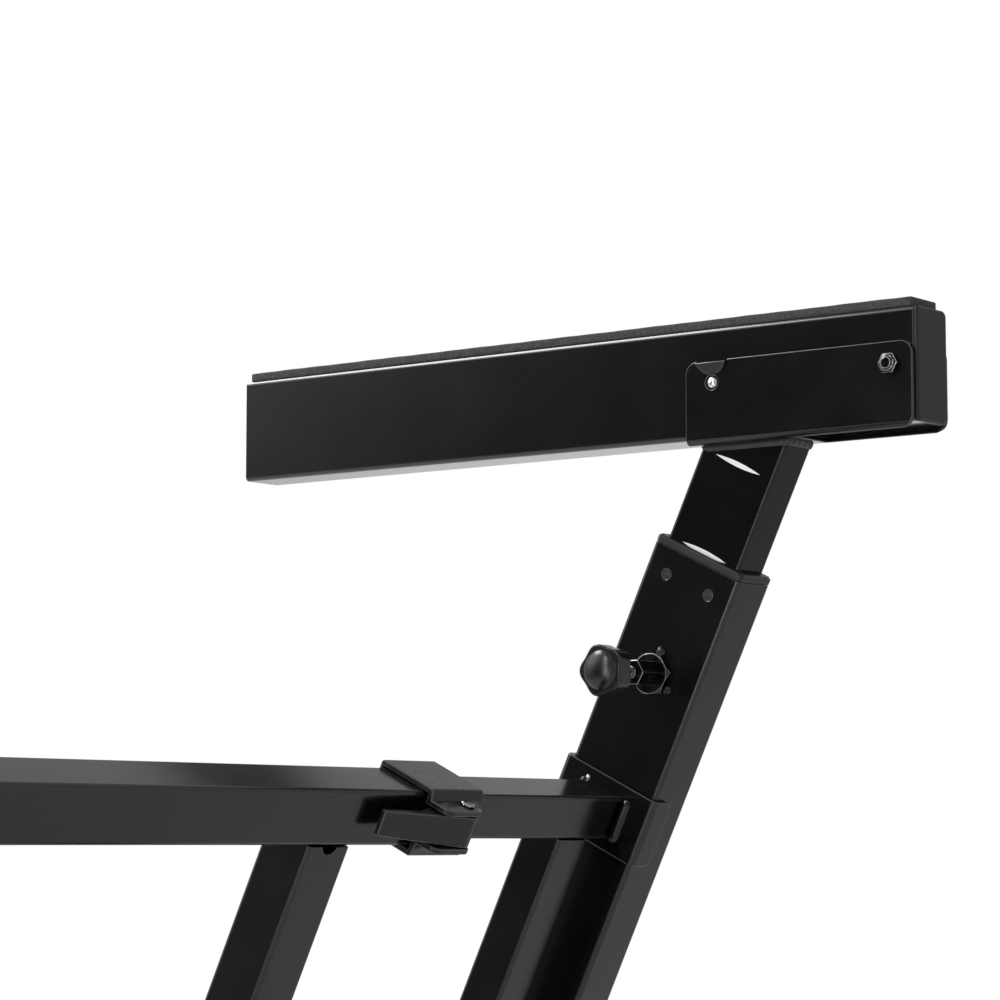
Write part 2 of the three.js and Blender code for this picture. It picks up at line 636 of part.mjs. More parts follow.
// Saddles and inner crossbars
const saddleInner = postFace + FIT;
const saddleOuter = saddleInner + SADDLE_SHEET;
const saddleInnerDepth = POST_DEPTH + 2 * FIT;
const barStart = saddleOuter + FIT;
const barEnd = postFace + BAR_REACH + BAR_OVERLAP;
function saddle(rise) {
  const outerDepth = saddleInnerDepth + 2 * SADDLE_SHEET;
  const width = 2 * saddleOuter;
  const blank = bar(width, outerDepth, SADDLE_BEND, SADDLE_HEIGHT);
  blank.translate(0, 0, rise - half(SADDLE_HEIGHT));
  const hollowRadius = POST_CORNER + FIT;
  const hollow = bar(2 * saddleInner, saddleInnerDepth, hollowRadius, SADDLE_HEIGHT * 2);
  hollow.translate(0, 0, rise - SADDLE_HEIGHT);
  const wrapEdge = postFace - SADDLE_WRAP;
  const back = box(-width, wrapEdge, -outerDepth, outerDepth, rise - SADDLE_HEIGHT, rise + SADDLE_HEIGHT);
  const flange = roundedRectangle(2 * SADDLE_WRAP + 2 * saddleOuter, SADDLE_HEIGHT, SADDLE_CORNER);
  const outline = new THREE.ExtrudeGeometry(flange, {
    depth: 2 * outerDepth,
    bevelEnabled: false,
    curveSegments: CORNER_STEPS,
  });
  alongY(outline, outerDepth).translate(wrapEdge + SADDLE_WRAP + saddleOuter, 0, rise);
  const plate = cut(solid(blank), solid(hollow), solid(back)).intersect(solid(outline));
  const beads = [-1, 1].map((side) => {
    const beadQ = side * (half(INNER_BAR_SIZE) + FIT + BEAD_RADIUS);
    const length = INNER_BAR_SIZE - 2 * BEAD_RADIUS;
    const capsule = new THREE.CapsuleGeometry(BEAD_RADIUS, length, BEAD_END_STEPS, SMALL_STEPS);
    const beadX = saddleOuter + BEAD_PROUD - BEAD_RADIUS;
    capsule.rotateX(Math.PI / 2).translate(beadX, beadQ, rise);
    const root = saddleOuter - half(SADDLE_SHEET);
    const reach = 2 * INNER_BAR_SIZE;
    const outside = box(root, root + reach, -reach, reach, rise - reach, rise + reach);
    return solid(capsule).intersect(solid(outside));
  });
  return surface(join(plate, ...beads));
}
function innerBar(rise) {
  const geometry = tube(INNER_BAR_SIZE, INNER_BAR_SIZE, INNER_BAR_WALL, INNER_BAR_CORNER, barEnd - barStart);
  return alongX(geometry).translate(barStart, 0, rise);
}
add('upper_saddle', LEANING, saddle(upperBarRise), satinBlack);
add('lower_saddle', LEANING, saddle(LOWER_BAR_RISE), satinBlack);
add('upper_inner_bar', LEANING, innerBar(upperBarRise), satinBlack);
add('lower_inner_bar', LEANING, innerBar(LOWER_BAR_RISE), satinBlack);

// Side strut between the two inner crossbars
const sideStrutLow = LOWER_BAR_RISE + half(INNER_BAR_SIZE) + SIDE_STRUT_GAP;
const sideStrutHigh = upperBarRise - half(INNER_BAR_SIZE) - SIDE_STRUT_GAP;
const sideStrutX = postFace + SIDE_STRUT_STAND_OFF + half(INNER_BAR_SIZE);
const sideStrutHeight = sideStrutHigh - sideStrutLow;
const sideStrut = tube(INNER_BAR_SIZE, INNER_BAR_SIZE, INNER_BAR_WALL, INNER_BAR_CORNER, sideStrutHeight);
add('side_strut', LEANING, sideStrut.translate(sideStrutX, 0, sideStrutLow), satinBlack);

// Arm bracket, with a half-moon lip over the button that flares out and guides the button in
const bracketInner = half(ARM_WIDTH) + FIT;
const bracketOuter = bracketInner + BRACKET_SHEET;
const postHalfLevel = half(SLIDE_DEPTH) / leanCos;
const bracketFrontY = postTopY - postHalfLevel - SIDE_LEAD;
const bracketRearY = armRearY + BRACKET_TAIL;
const floorFrontY = postTopY - postHalfLevel - FLOOR_LEAD;
const floorRearY = postTopY + postHalfLevel + FLOOR_TAIL;
const bracketTopZ = armTop - BRACKET_TOP_DROP;
const pivotY = armRearY - PIVOT_SETBACK;
const buttonY = bracketFrontY + BUTTON_INSET;
function armBracket() {
  const length = bracketRearY - bracketFrontY;
  const height = bracketTopZ - bracketFloorZ;
  const channel = roundedRectangle(2 * bracketOuter, 2 * height, BRACKET_BEND);
  const cavityHeight = 2 * (height - BRACKET_SHEET);
  const cavityRadius = BRACKET_BEND - BRACKET_SHEET;
  channel.holes.push(roundedRectangle(2 * bracketInner, cavityHeight, cavityRadius, new THREE.Path()));
  const ring = alongY(prism(channel, length), bracketRearY).translate(0, 0, bracketTopZ);
  const sideOutline = roundedRectangle(length, height, BRACKET_CORNER);
  const sideProfile = alongX(prism(sideOutline, 4 * bracketOuter));
  const sideMiddleY = half(bracketFrontY + bracketRearY);
  sideProfile.translate(-2 * bracketOuter, sideMiddleY, half(bracketTopZ + bracketFloorZ));
  const heel = box(-bracketOuter * 2, bracketOuter * 2, bracketFrontY, bracketFrontY + BRACKET_CORNER,
    bracketFloorZ, bracketFloorZ + BRACKET_CORNER);
  const kept = join(solid(sideProfile), solid(heel));
  const floorLow = bracketFloorZ - BRACKET_SHEET;
  const floorHigh = bracketFloorZ + 2 * BRACKET_SHEET;
  const openRear = box(-bracketInner, bracketInner, floorRearY, bracketRearY + FIT, floorLow, floorHigh);
  const openFront = box(-bracketInner, bracketInner, bracketFrontY - FIT, floorFrontY, floorLow, floorHigh);
  const holeRadius = BUTTON_RADIUS + RUNNING_FIT;
  const holeStart = bracketInner - FIT;
  const holeEnd = bracketOuter + FIT;
  const buttonHole = roundX(holeRadius, holeStart, holeEnd, buttonY, armMiddle, ROUND_STEPS);
  const far = 2 * bracketOuter;
  const pivotHole = roundX(BOLT_RADIUS + FIT, -far, far, pivotY, armMiddle, ROUND_STEPS);
  const lipLow = bracketTopZ - LIP_DEPTH;
  const lipSteps = 2 * ROUND_STEPS;
  const lipHole = roundX(LIP_RADIUS, holeStart, holeEnd, buttonY, lipLow + LIP_RADIUS, lipSteps);
  const lip = roundX(LIP_RADIUS + FIT, bracketInner, bracketOuter, buttonY, LIP_RADIUS, lipSteps);
  const flare = new THREE.Matrix4().makeShear(0, 0, 0, 0, LIP_FLARE / LIP_DEPTH, 0);
  lip.applyMatrix4(flare).translate(0, 0, lipLow);
  const lipTopZ = bracketTopZ - LIP_DROP;
  const aboveLip = box(0, far, buttonY - far, buttonY + far, lipTopZ, lipTopZ + far);
  const folded = solid(ring).intersect(kept);
  const plate = cut(folded, ...[openRear, openFront, buttonHole, pivotHole, lipHole].map(solid));
  return surface(join(plate, cut(solid(lip), solid(aboveLip))));
}
add('arm_bracket', LEVEL, armBracket(), satinBlack);

// Pivot bolt and its lock nut
const nutSeat = bracketOuter + FIT;
const nutTop = nutSeat + NUT_HEIGHT + NUT_COLLAR_HEIGHT;
function pivotBolt() {
  const shank = roundX(BOLT_RADIUS, -nutSeat - half(BOLT_HEAD_HEIGHT), nutTop + BOLT_TIP, pivotY, armMiddle);
  const head = hexX(BOLT_HEAD_FLATS, -nutSeat - BOLT_HEAD_HEIGHT, -nutSeat, pivotY, armMiddle);
  return surface(join(solid(shank), solid(head)));
}
add('pivot_bolt', LEVEL, pivotBolt(), blackSteel);
function pivotNut() {
  const hex = hexX(NUT_FLATS, nutSeat, nutSeat + NUT_HEIGHT, pivotY, armMiddle);
  const ring = roundX(NUT_COLLAR_RADIUS, nutSeat + half(NUT_HEIGHT), nutTop, pivotY, armMiddle, ROUND_STEPS);
  const bore = roundX(BOLT_RADIUS + FIT, nutSeat - FIT, nutTop + FIT, pivotY, armMiddle);
  return surface(cut(join(solid(hex), solid(ring)), solid(bore)));
}
add('pivot_nut', LEVEL, pivotNut(), blackSteel);

// Arm tube, foam strip and end plugs
const armFace = half(ARM_WIDTH);
function armTube() {
  const blank = tube(ARM_WIDTH, ARM_HEIGHT, ARM_WALL, ARM_CORNER, ARM_LENGTH);
  alongY(blank, armRearY).translate(0, 0, armMiddle);
  const pivotHole = roundX(BOLT_RADIUS + RUNNING_FIT, -ARM_WIDTH, ARM_WIDTH, pivotY, armMiddle, ROUND_STEPS);
  const wallReach = ARM_WALL + FIT;
  const holeRadius = BUTTON_RADIUS + RUNNING_FIT;
  const holeStart = armFace - wallReach;
  const holeEnd = armFace + wallReach;
  const buttonHole = roundX(holeRadius, holeStart, holeEnd, buttonY, armMiddle, ROUND_STEPS);
  return surface(cut(solid(blank), solid(pivotHole), solid(buttonHole)));
}
add('arm_tube', LEVEL, armTube(), glossBlack);

function foamStrip() {
  const width = ARM_WIDTH - 2 * FOAM_SIDE_INSET;
  const length = ARM_LENGTH - 2 * FOAM_END_INSET;
  const strip = bar(width, FOAM_THICKNESS, FOAM_CORNER, length);
  return alongY(strip, armRearY - FOAM_END_INSET).translate(0, 0, armTop + FIT + half(FOAM_THICKNESS));
}
add('arm_foam', LEVEL, foamStrip(), foam);

const armBoreWidth = ARM_WIDTH - 2 * (ARM_WALL + FIT);
const armBoreHeight = ARM_HEIGHT - 2 * (ARM_WALL + FIT);
function rearPlug() {
  const flangeShape = roundedRectangle(ARM_WIDTH - 2 * PLUG_CORNER, ARM_HEIGHT - 2 * PLUG_CORNER, ARM_CORNER);
  const flange = new THREE.ExtrudeGeometry(flangeShape, {
    depth: PLUG_FLANGE - PLUG_CORNER,
    bevelEnabled: true,
    bevelThickness: PLUG_CORNER,
    bevelSize: PLUG_CORNER,
    bevelSegments: CHAMFER_STEPS,
    curveSegments: CORNER_STEPS,
  });
  const seatY = armRearY + FIT;
  alongY(flange, 0).rotateZ(Math.PI).translate(0, seatY, armMiddle);
  const big = 2 * ARM_HEIGHT;
  const inFront = box(-big, big, seatY - big, seatY, armMiddle - big, armMiddle + big);
  const shank = bar(armBoreWidth, armBoreHeight, ARM_CORNER - ARM_WALL, PLUG_DEPTH);
  alongY(shank, seatY + half(PLUG_FLANGE)).translate(0, 0, armMiddle);
  return surface(join(cut(solid(flange), solid(inFront)), solid(shank)));
}
function frontPlug() {
  const block = bar(armBoreWidth, armBoreHeight, ARM_CORNER - ARM_WALL, FRONT_PLUG_DEPTH);
  return alongY(block, armFrontY + FRONT_PLUG_INSET + FRONT_PLUG_DEPTH).translate(0, 0, armMiddle);
}
add('arm_plug_front', LEVEL, frontPlug(), plastic);
add('arm_plug_rear', LEVEL, rearPlug(), plastic);

// Snap button on its leaf spring, inside the arm tube
function snapButton() {
  const wallInside = armFace - ARM_WALL;
  const flangeEnd = wallInside - FIT;
  const flangeStart = flangeEnd - BUTTON_FLANGE;
  const tip = bracketOuter + BUTTON_PROUD;
  const button = turnedX([
    [0, flangeStart],
    [BUTTON_FLANGE_RADIUS, flangeStart],
    [BUTTON_FLANGE_RADIUS, flangeEnd],
    [BUTTON_RADIUS, flangeEnd],
    [BUTTON_RADIUS, tip - BUTTON_EDGE],
    [BUTTON_RADIUS - BUTTON_EDGE, tip - BUTTON_CROWN],
    [0, tip],
  ], ROUND_STEPS, buttonY, armMiddle);
  const leafStart = flangeStart - LEAF_SHEET + FIT;
  const leafFront = buttonY - LEAF_WIDTH;
  const leaf = box(leafStart, flangeStart + FIT, leafFront, leafFront + LEAF_LENGTH,
    armMiddle - half(LEAF_WIDTH), armMiddle + half(LEAF_WIDTH));
  return surface(join(solid(button), solid(leaf)));
}
add('snap_button', LEVEL, snapButton(), zinc);

// Both sides: the same pieces, reflected for the one at +x
const leanOrigin = new THREE.Vector3(0, postFootY, footTop);
function leaningFrame(parent, origin) {
  const frame = new THREE.Group();
  frame.position.copy(origin);
  frame.rotation.x = -lean;
  parent.add(frame);
  return frame;
}
for (const hand of [-1, 1]) {
  const prefix = hand < 0 ? 'left' : 'right';
  const side = new THREE.Group();
  side.position.x = hand * halfSpan;
  stand.add(side);
  const level = new THREE.Group();
  side.add(level);
  const leaning = leaningFrame(side, leanOrigin);
  for (const piece of sidePieces) {
    const geometry = hand < 0 ? piece.geometry : mirrored(piece.geometry);
    place(piece.frame === LEVEL ? level : leaning, `${prefix}_${piece.name}`, geometry, piece.material);
  }
}

// Centre frame: two outer crossbars joined by two struts, drawn in the leaning frame
const centre = leaningFrame(stand, leanOrigin);
const barWall = half(BAR_SIZE - INNER_BAR_SIZE) - RUNNING_FIT;
function outerBar(rise) {
  const geometry = tube(BAR_SIZE, BAR_SIZE, barWall, BAR_CORNER, BAR_LENGTH);
  return alongX(geometry).translate(-half(BAR_LENGTH), 0, rise);
}
place(centre, 'upper_outer_bar', outerBar(upperBarRise), satinBlack);
place(centre, 'lower_outer_bar', outerBar(LOWER_BAR_RISE), satinBlack);

const strutLow = LOWER_BAR_RISE + half(BAR_SIZE) + STRUT_GAP;
const strutHigh = upperBarRise - half(BAR_SIZE) - STRUT_GAP;
function centreStrut(x) {
  const blank = tube(BAR_SIZE, BAR_SIZE, STRUT_WALL, BAR_CORNER, strutHigh - strutLow);
  blank.translate(x, 0, strutLow);
  const radius = STRUT_NOTCH_RADIUS;
  const drill = new THREE.CylinderGeometry(radius, radius, 2 * STRUT_WALL, ROUND_STEPS);
  const drillRise = strutHigh - STRUT_NOTCH_DEPTH + STRUT_NOTCH_RADIUS;
  drill.translate(x, half(BAR_SIZE), drillRise);
  return surface(cut(solid(blank), solid(drill)));
}
place(centre, 'centre_strut_left', centreStrut(-half(STRUT_SPACING)), satinBlack);
place(centre, 'centre_strut_right', centreStrut(half(STRUT_SPACING)), satinBlack);

// Quick-lock clamp, drawn for the left end of the upper outer crossbar
const wrapInner = half(BAR_SIZE) + FIT;
const wrapOuter = wrapInner + CLAMP_SHEET;
const wrapFront = wrapInner + CLAMP_FRONT_SHEET;
const clampEndX = -half(BAR_LENGTH);
const clampInnerX = clampEndX + CLAMP_LENGTH;
const earStartX = clampInnerX - EAR_LENGTH;
const earTip = half(BAR_SIZE) + EAR_REACH;
const pinQ = half(BAR_SIZE) + CLAMP_PIN_SETBACK;
const pinX = earStartX + CLAMP_PIN_INSET;
function roundAlongPost(radius, low, high) {
  const geometry = new THREE.CylinderGeometry(radius, radius, high - low, SMALL_STEPS);
  return geometry.rotateX(half(Math.PI)).translate(pinX, pinQ, half(low + high));
}
function clampBracket() {
  const high = EAR_OFFSET + half(EAR_GAP);
  const low = EAR_OFFSET - half(EAR_GAP);
  const bend = wrapOuter + FIT;
  const slope = bend + half(EAR_STEP);
  const step = bend + EAR_STEP;
  const web = bend - half(EAR_STEP);
  const ease = half(EAR_STEP);
  const quarter = Math.PI / 2;
  const cornerQ = CLAMP_BEND - wrapFront;
  const cornerRise = wrapOuter - CLAMP_BEND;
  const profile = new THREE.Shape();
  profile.moveTo(earTip, high);
  profile.lineTo(earTip, high + CLAMP_SHEET);
  profile.lineTo(step, high + CLAMP_SHEET);
  profile.lineTo(slope, wrapOuter - ease);
  profile.lineTo(bend, wrapOuter);
  profile.absarc(cornerQ, cornerRise, CLAMP_BEND, quarter, 2 * quarter, false);
  profile.absarc(cornerQ, -cornerRise, CLAMP_BEND, 2 * quarter, 3 * quarter, false);
  profile.lineTo(bend, -wrapOuter);
  profile.lineTo(slope, ease - wrapOuter);
  profile.lineTo(step, low - CLAMP_SHEET);
  profile.lineTo(earTip, low - CLAMP_SHEET);
  profile.lineTo(earTip, low);
  profile.lineTo(web, low);
  profile.lineTo(web, -wrapInner);
  profile.lineTo(-wrapInner, -wrapInner);
  profile.lineTo(-wrapInner, wrapInner);
  profile.lineTo(web, wrapInner);
  profile.lineTo(web, high);
  profile.closePath();
  const wrap = alongX(prism(profile, CLAMP_LENGTH)).translate(clampEndX, 0, upperBarRise);
  const tall = 2 * wrapOuter;
  const band = box(clampEndX - FIT, clampInnerX + FIT, -tall, step, upperBarRise - tall, upperBarRise + tall);
  const earPlan = prism(roundedRectangle(EAR_LENGTH, 2 * earTip, EAR_CORNER), 2 * tall);
  earPlan.translate(half(earStartX + clampInnerX), 0, upperBarRise - tall);
  const pinHole = roundAlongPost(CLAMP_PIN_RADIUS + FIT, upperBarRise - tall, upperBarRise + tall);
  return surface(cut(solid(wrap).intersect(join(solid(band), solid(earPlan))), solid(pinHole)));
}
function clampPin() {
  const high = upperBarRise + EAR_OFFSET + half(EAR_GAP) + CLAMP_SHEET + FIT;
  const low = upperBarRise + EAR_OFFSET - half(EAR_GAP) - CLAMP_SHEET - FIT;
  const points = [
    [0, low - CLAMP_PIN_HEAD],
    [CLAMP_PIN_HEAD_RADIUS, low - CLAMP_PIN_HEAD],
    [CLAMP_PIN_HEAD_RADIUS, low],
    [CLAMP_PIN_RADIUS, low],
    [CLAMP_PIN_RADIUS, high],
    [CLAMP_PIN_HEAD_RADIUS, high],
    [CLAMP_PIN_CROWN_RADIUS, high + CLAMP_PIN_HEAD],
    [0, high + CLAMP_PIN_HEAD],
  ].map(([radius, z]) => new THREE.Vector2(radius, z));
  return new THREE.LatheGeometry(points, SMALL_STEPS).rotateX(Math.PI / 2).translate(pinX, pinQ, 0);
}
function camLever() {
  const tip = new THREE.Vector2(LEVER_LENGTH, -LEVER_TIP_DROP);
  const tangent = tip.angle() - 2 * Math.PI + Math.acos(LEVER_HEAD_RADIUS / tip.length());
  const noseQ = CAM_GAP - CLAMP_PIN_SETBACK;
  const camEnd = THREE.MathUtils.degToRad(CAM_END_DEG);
  const slope = Math.tan(tangent - half(Math.PI));
  const neckBack = tip.y + (LEVER_NECK_REACH - tip.x) * slope;
  const plan = new THREE.Shape();
  plan.moveTo(tip.x, tip.y - LEVER_TIP_THICKNESS);
  plan.lineTo(tip.x, tip.y);
  plan.absarc(0, 0, LEVER_HEAD_RADIUS, tangent, camEnd, false);
  plan.lineTo(-CAM_HEEL, noseQ + CAM_GAP);
  plan.lineTo(0, noseQ);
  plan.lineTo(CAM_NOSE, noseQ);
  plan.lineTo(LEVER_NECK_REACH, neckBack - LEVER_NECK_THICKNESS);
  plan.closePath();
  const handle = prism(plan, LEVER_HEIGHT, SMALL_STEPS).translate(pinX, pinQ, 0);
  const side = new THREE.Shape();
  side.moveTo(-LEVER_HEAD_RADIUS - FIT, half(LEVER_HEIGHT));
  side.lineTo(-LEVER_HEAD_RADIUS - FIT, -half(LEVER_HEIGHT));
  side.lineTo(LEVER_HEAD_RADIUS, -half(LEVER_HEIGHT));
  side.lineTo(LEVER_LENGTH + FIT, -half(LEVER_TIP_HEIGHT));
  side.lineTo(LEVER_LENGTH + FIT, half(LEVER_TIP_HEIGHT));
  side.lineTo(LEVER_HEAD_RADIUS, half(LEVER_HEIGHT));
  side.closePath();
  const middle = upperBarRise + EAR_OFFSET;
  const taper = alongY(prism(side, 2 * earTip), 2 * earTip).translate(pinX, 0, middle);
  handle.translate(0, 0, middle - half(LEVER_HEIGHT));
  const bore = roundAlongPost(CLAMP_PIN_RADIUS + FIT, middle - LEVER_HEIGHT, middle + LEVER_HEIGHT);
  return surface(cut(solid(handle).intersect(solid(taper)), solid(bore)));
}
const clampPieces = [
  ['clamp_bracket', clampBracket(), clampBlack],
  ['clamp_pin', clampPin(), blackSteel],
  ['clamp_lever', camLever(), clampBlack],
];
for (const [name, geometry, material] of clampPieces) {
  place(centre, `left_${name}`, geometry, material);
  place(centre, `right_${name}`, mirrored(geometry), material);
}

export default stand;
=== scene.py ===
# %% [markdown]
# # A folding z keyboard stand
# Two z-shaped sides in black powder-coated steel tube, joined by telescoping crossbars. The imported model
# gives every piece its place and its size. It could be rendered as it is, but a real tube has no sharp
# edge and no even colour. So this lesson dresses each piece: it rounds the edges that a press or a saw
# leaves, and gives every surface the finish of the real thing.

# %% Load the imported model
import json
import math

import bmesh
import bpy
from mathutils import Matrix, Vector


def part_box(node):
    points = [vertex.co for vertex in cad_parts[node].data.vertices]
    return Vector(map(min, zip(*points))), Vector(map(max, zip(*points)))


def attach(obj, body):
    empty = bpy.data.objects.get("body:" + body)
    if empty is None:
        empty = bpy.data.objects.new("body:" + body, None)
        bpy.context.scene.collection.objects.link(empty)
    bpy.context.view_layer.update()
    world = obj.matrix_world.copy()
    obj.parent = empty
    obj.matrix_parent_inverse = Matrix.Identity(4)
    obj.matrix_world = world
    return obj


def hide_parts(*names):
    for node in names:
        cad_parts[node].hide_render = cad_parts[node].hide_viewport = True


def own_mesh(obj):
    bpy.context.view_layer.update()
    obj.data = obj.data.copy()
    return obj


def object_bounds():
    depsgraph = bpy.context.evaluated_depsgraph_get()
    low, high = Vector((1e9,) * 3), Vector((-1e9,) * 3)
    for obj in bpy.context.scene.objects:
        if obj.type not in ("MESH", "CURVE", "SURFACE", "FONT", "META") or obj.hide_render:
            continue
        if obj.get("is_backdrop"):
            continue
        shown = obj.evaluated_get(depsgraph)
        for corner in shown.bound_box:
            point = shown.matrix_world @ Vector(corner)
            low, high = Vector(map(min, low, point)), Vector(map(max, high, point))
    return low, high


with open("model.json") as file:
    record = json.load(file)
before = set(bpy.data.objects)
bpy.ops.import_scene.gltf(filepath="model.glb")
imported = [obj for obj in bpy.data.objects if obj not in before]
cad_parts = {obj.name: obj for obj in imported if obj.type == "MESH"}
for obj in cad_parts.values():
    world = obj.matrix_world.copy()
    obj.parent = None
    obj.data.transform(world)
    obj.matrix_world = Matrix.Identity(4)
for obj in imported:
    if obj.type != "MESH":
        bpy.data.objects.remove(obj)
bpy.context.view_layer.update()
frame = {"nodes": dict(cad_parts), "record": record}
MM = 0.001

# %% [markdown]
# ## The camera
# The photograph looks slightly up at the left arm, from behind and from the middle of the stand, with a
# long lens. A camera could be turned by hand until the picture looks right, but its place and two angles
# can be fitted to the edges of the tubes. A camera object looks down its own -Z, so its matrix is written
# from three directions: to its side, up, and back.

# %% Work out where the camera looks
CAMERA_PLACE = Vector((1.039964, 1.059048, 0.430193))
CAMERA_YAW = math.radians(127.544)
CAMERA_PITCH = math.radians(6.077)

look = Vector((
    -math.sin(CAMERA_YAW) * math.cos(CAMERA_PITCH),
    math.cos(CAMERA_YAW) * math.cos(CAMERA_PITCH),
    math.sin(CAMERA_PITCH),
))
across = Vector((math.cos(CAMERA_YAW), math.sin(CAMERA_YAW), 0))
up = across.cross(look)
turn = Matrix((across, up, -look)).transposed().to_4x4()
print("camera looks along", [round(v, 3) for v in look])

# %% Place the camera
CAMERA_LENS = 115.92
SENSOR_WIDTH = 36
NEAREST_SEEN = 20 * MM

camera_data = bpy.data.cameras.new("camera")
camera_data.lens = CAMERA_LENS
camera_data.sensor_width = SENSOR_WIDTH
camera_data.clip_start = NEAREST_SEEN
camera = bpy.data.objects.new("camera", camera_data)
bpy.context.scene.collection.objects.link(camera)
camera.matrix_world = Matrix.Translation(CAMERA_PLACE) @ turn
bpy.context.scene.camera = camera
print("camera sees", round(math.degrees(camera_data.angle), 1), "degrees")

# %% [markdown]
# ## The studio
# Black paint shows little but reflections, so the light is mostly what the paint mirrors. A small strong
# lamp would mirror as a dot, and a large soft box mirrors as an even band. A long box high in front draws
# the bright line along each upper edge, and a tall one beside the stand draws the soft line down each
# upright corner. A low one beside it is for the corners of the leaning posts, which mirror what is below
# them. A box behind fills the far side.

# %% A helper that hangs a soft box
def soft_box(name, place, aim, size, power):
    lamp = bpy.data.lights.new(name, "AREA")
    lamp.shape = "RECTANGLE"
    lamp.size, lamp.size_y = size
    lamp.energy = power
    holder = bpy.data.objects.new(name, lamp)
    bpy.context.scene.collection.objects.link(holder)
    holder.location = place
    holder.rotation_euler = (Vector(aim) - Vector(place)).to_track_quat("-Z", "Y").to_euler()
    holder.visible_camera = False
    print(name, "radiance", round(power / (math.pi * size[0] * size[1]), 2))


# %% Hang the soft boxes
soft_box("front_box", place=(-0.2, -1.3, 2.25), aim=(-0.2, 0, 0.6), size=(2.2, 0.7), power=46)
soft_box("side_box", place=(1.85, -0.32, 1.25), aim=(-0.4, 0, 0.6), size=(0.3, 2.4), power=18)
soft_box("strip_light", place=(1.3, 0.06, 0.27), aim=(-0.4, 0, 0.27), size=(0.5, 0.66), power=2.4)
soft_box("rear_box", place=(-0.9, 2.6, 1.7), aim=(0, 0, 0.5), size=(1.2, 1.2), power=5)
bpy.context.scene.view_settings.view_transform = "Standard"

# %% [markdown]
# ## The world
# The room is white to the camera. Gloss sees a pale room with a white wall behind the stand, one dark
# side, which the inner faces mirror, and a soft window in front, which lights the knob's dome and fades
# along the arm. Real walls could be modelled, but they would stand in the way of the lamps. So the world
# is painted by direction. Its Generated coordinates are the direction of a ray, and the dot product with
# a side's direction says how near to that side the ray points.

# %% Start the world
world = bpy.data.worlds.new("studio")
bpy.context.scene.world = world
world.use_nodes = True
nodes, links = world.node_tree.nodes, world.node_tree.links
nodes.clear()
print("world", world.name)

# %% A helper that shades one side of the room
heading = nodes.new("ShaderNodeTexCoord")


def toward(side, near, full, low, high, kind):
    share = nodes.new("ShaderNodeVectorMath")
    share.operation = "DOT_PRODUCT"
    share.inputs[1].default_value = side
    ramp = nodes.new("ShaderNodeMapRange")
    ramp.interpolation_type = kind
    for name, value in (("From Min", near), ("From Max", full), ("To Min", low), ("To Max", high)):
        ramp.inputs[name].default_value = value
    links.new(heading.outputs["Generated"], share.inputs[0])
    links.new(share.outputs["Value"], ramp.inputs["Value"])
    return ramp.outputs["Result"]


print("directions come from", heading.name)

# %% Shade the wall, the dark side and the window
ROOM_PALE, ROOM_WALL, ROOM_DARK, ROOM_WINDOW = 0.5, 1.0, 0.05, 1.7
WALL_SIDE = (-0.95, -0.3, -0.05)
DARK_SIDE = (0.95, -0.3, 0)
WINDOW_SIDE = (0.468, -0.749, 0.469)

wall = toward(WALL_SIDE, near=0.82, full=0.98, low=ROOM_PALE, high=ROOM_WALL, kind="SMOOTHSTEP")
dark = toward(DARK_SIDE, near=0.8, full=0.95, low=1.0, high=ROOM_DARK / ROOM_PALE, kind="LINEAR")
window = toward(WINDOW_SIDE, near=0.87, full=1.0, low=0.0, high=ROOM_WINDOW, kind="SMOOTHSTEP")
room_gloss = nodes.new("ShaderNodeMath")
room_gloss.operation = "MULTIPLY_ADD"
for number, part in enumerate((wall, dark, window)):
    links.new(part, room_gloss.inputs[number])
print("room", ROOM_PALE, "wall", ROOM_WALL, "dark side", ROOM_DARK, "window", ROOM_WINDOW)

# %% Choose what each kind of ray sees
ROOM_AMBIENT = 0.27
PLAIN_WHITE = 1.0

ray = nodes.new("ShaderNodeLightPath")
gloss_or_light = nodes.new("ShaderNodeMix")
gloss_or_light.inputs["A"].default_value = ROOM_AMBIENT
white_or_room = nodes.new("ShaderNodeMix")
white_or_room.inputs["B"].default_value = PLAIN_WHITE
straight = nodes.new("ShaderNodeMath")
straight.operation = "MAXIMUM"
room = nodes.new("ShaderNodeBackground")
room.inputs["Color"].default_value = (1, 1, 1, 1)
sky = nodes.new("ShaderNodeOutputWorld")
links.new(ray.outputs["Is Glossy Ray"], gloss_or_light.inputs["Factor"])
links.new(room_gloss.outputs[0], gloss_or_light.inputs["B"])
links.new(ray.outputs["Is Camera Ray"], straight.inputs[0])
links.new(ray.outputs["Is Transmission Ray"], straight.inputs[1])
links.new(straight.outputs[0], white_or_room.inputs["Factor"])
links.new(gloss_or_light.outputs["Result"], white_or_room.inputs["A"])
links.new(white_or_room.outputs["Result"], room.inputs["Strength"])
links.new(room.outputs[0], sky.inputs["Surface"])
print("world nodes", len(nodes))

# %% [markdown]
# ## The floor
# The stand stands on white paper. A floor that only catches shadows would do, but the paint would then
# mirror nothing below it. So the paper is a real matt floor near the stand, with a little glow that only
# the camera sees. Farther out it fades into plain white, so that no edge shows, and gloss looks through
# it at the room.

# %% Lay the floor
FLOOR_HALF = 60
FLOOR_DROP = 0.5 * MM

floor_shape = bmesh.new()
bmesh.ops.create_grid(floor_shape, x_segments=2, y_segments=2, size=FLOOR_HALF)
floor_mesh = bpy.data.meshes.new("floor")
floor_shape.to_mesh(floor_mesh)
floor_shape.free()
floor = bpy.data.objects.new("floor", floor_mesh)
bpy.context.scene.collection.objects.link(floor)
floor.location.z = -FLOOR_DROP
floor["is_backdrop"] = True
print("floor", FLOOR_HALF * 2, "m wide")

# %% Paint the near floor
PAPER_WHITE, PAPER_GLOW = 0.88, 0.14

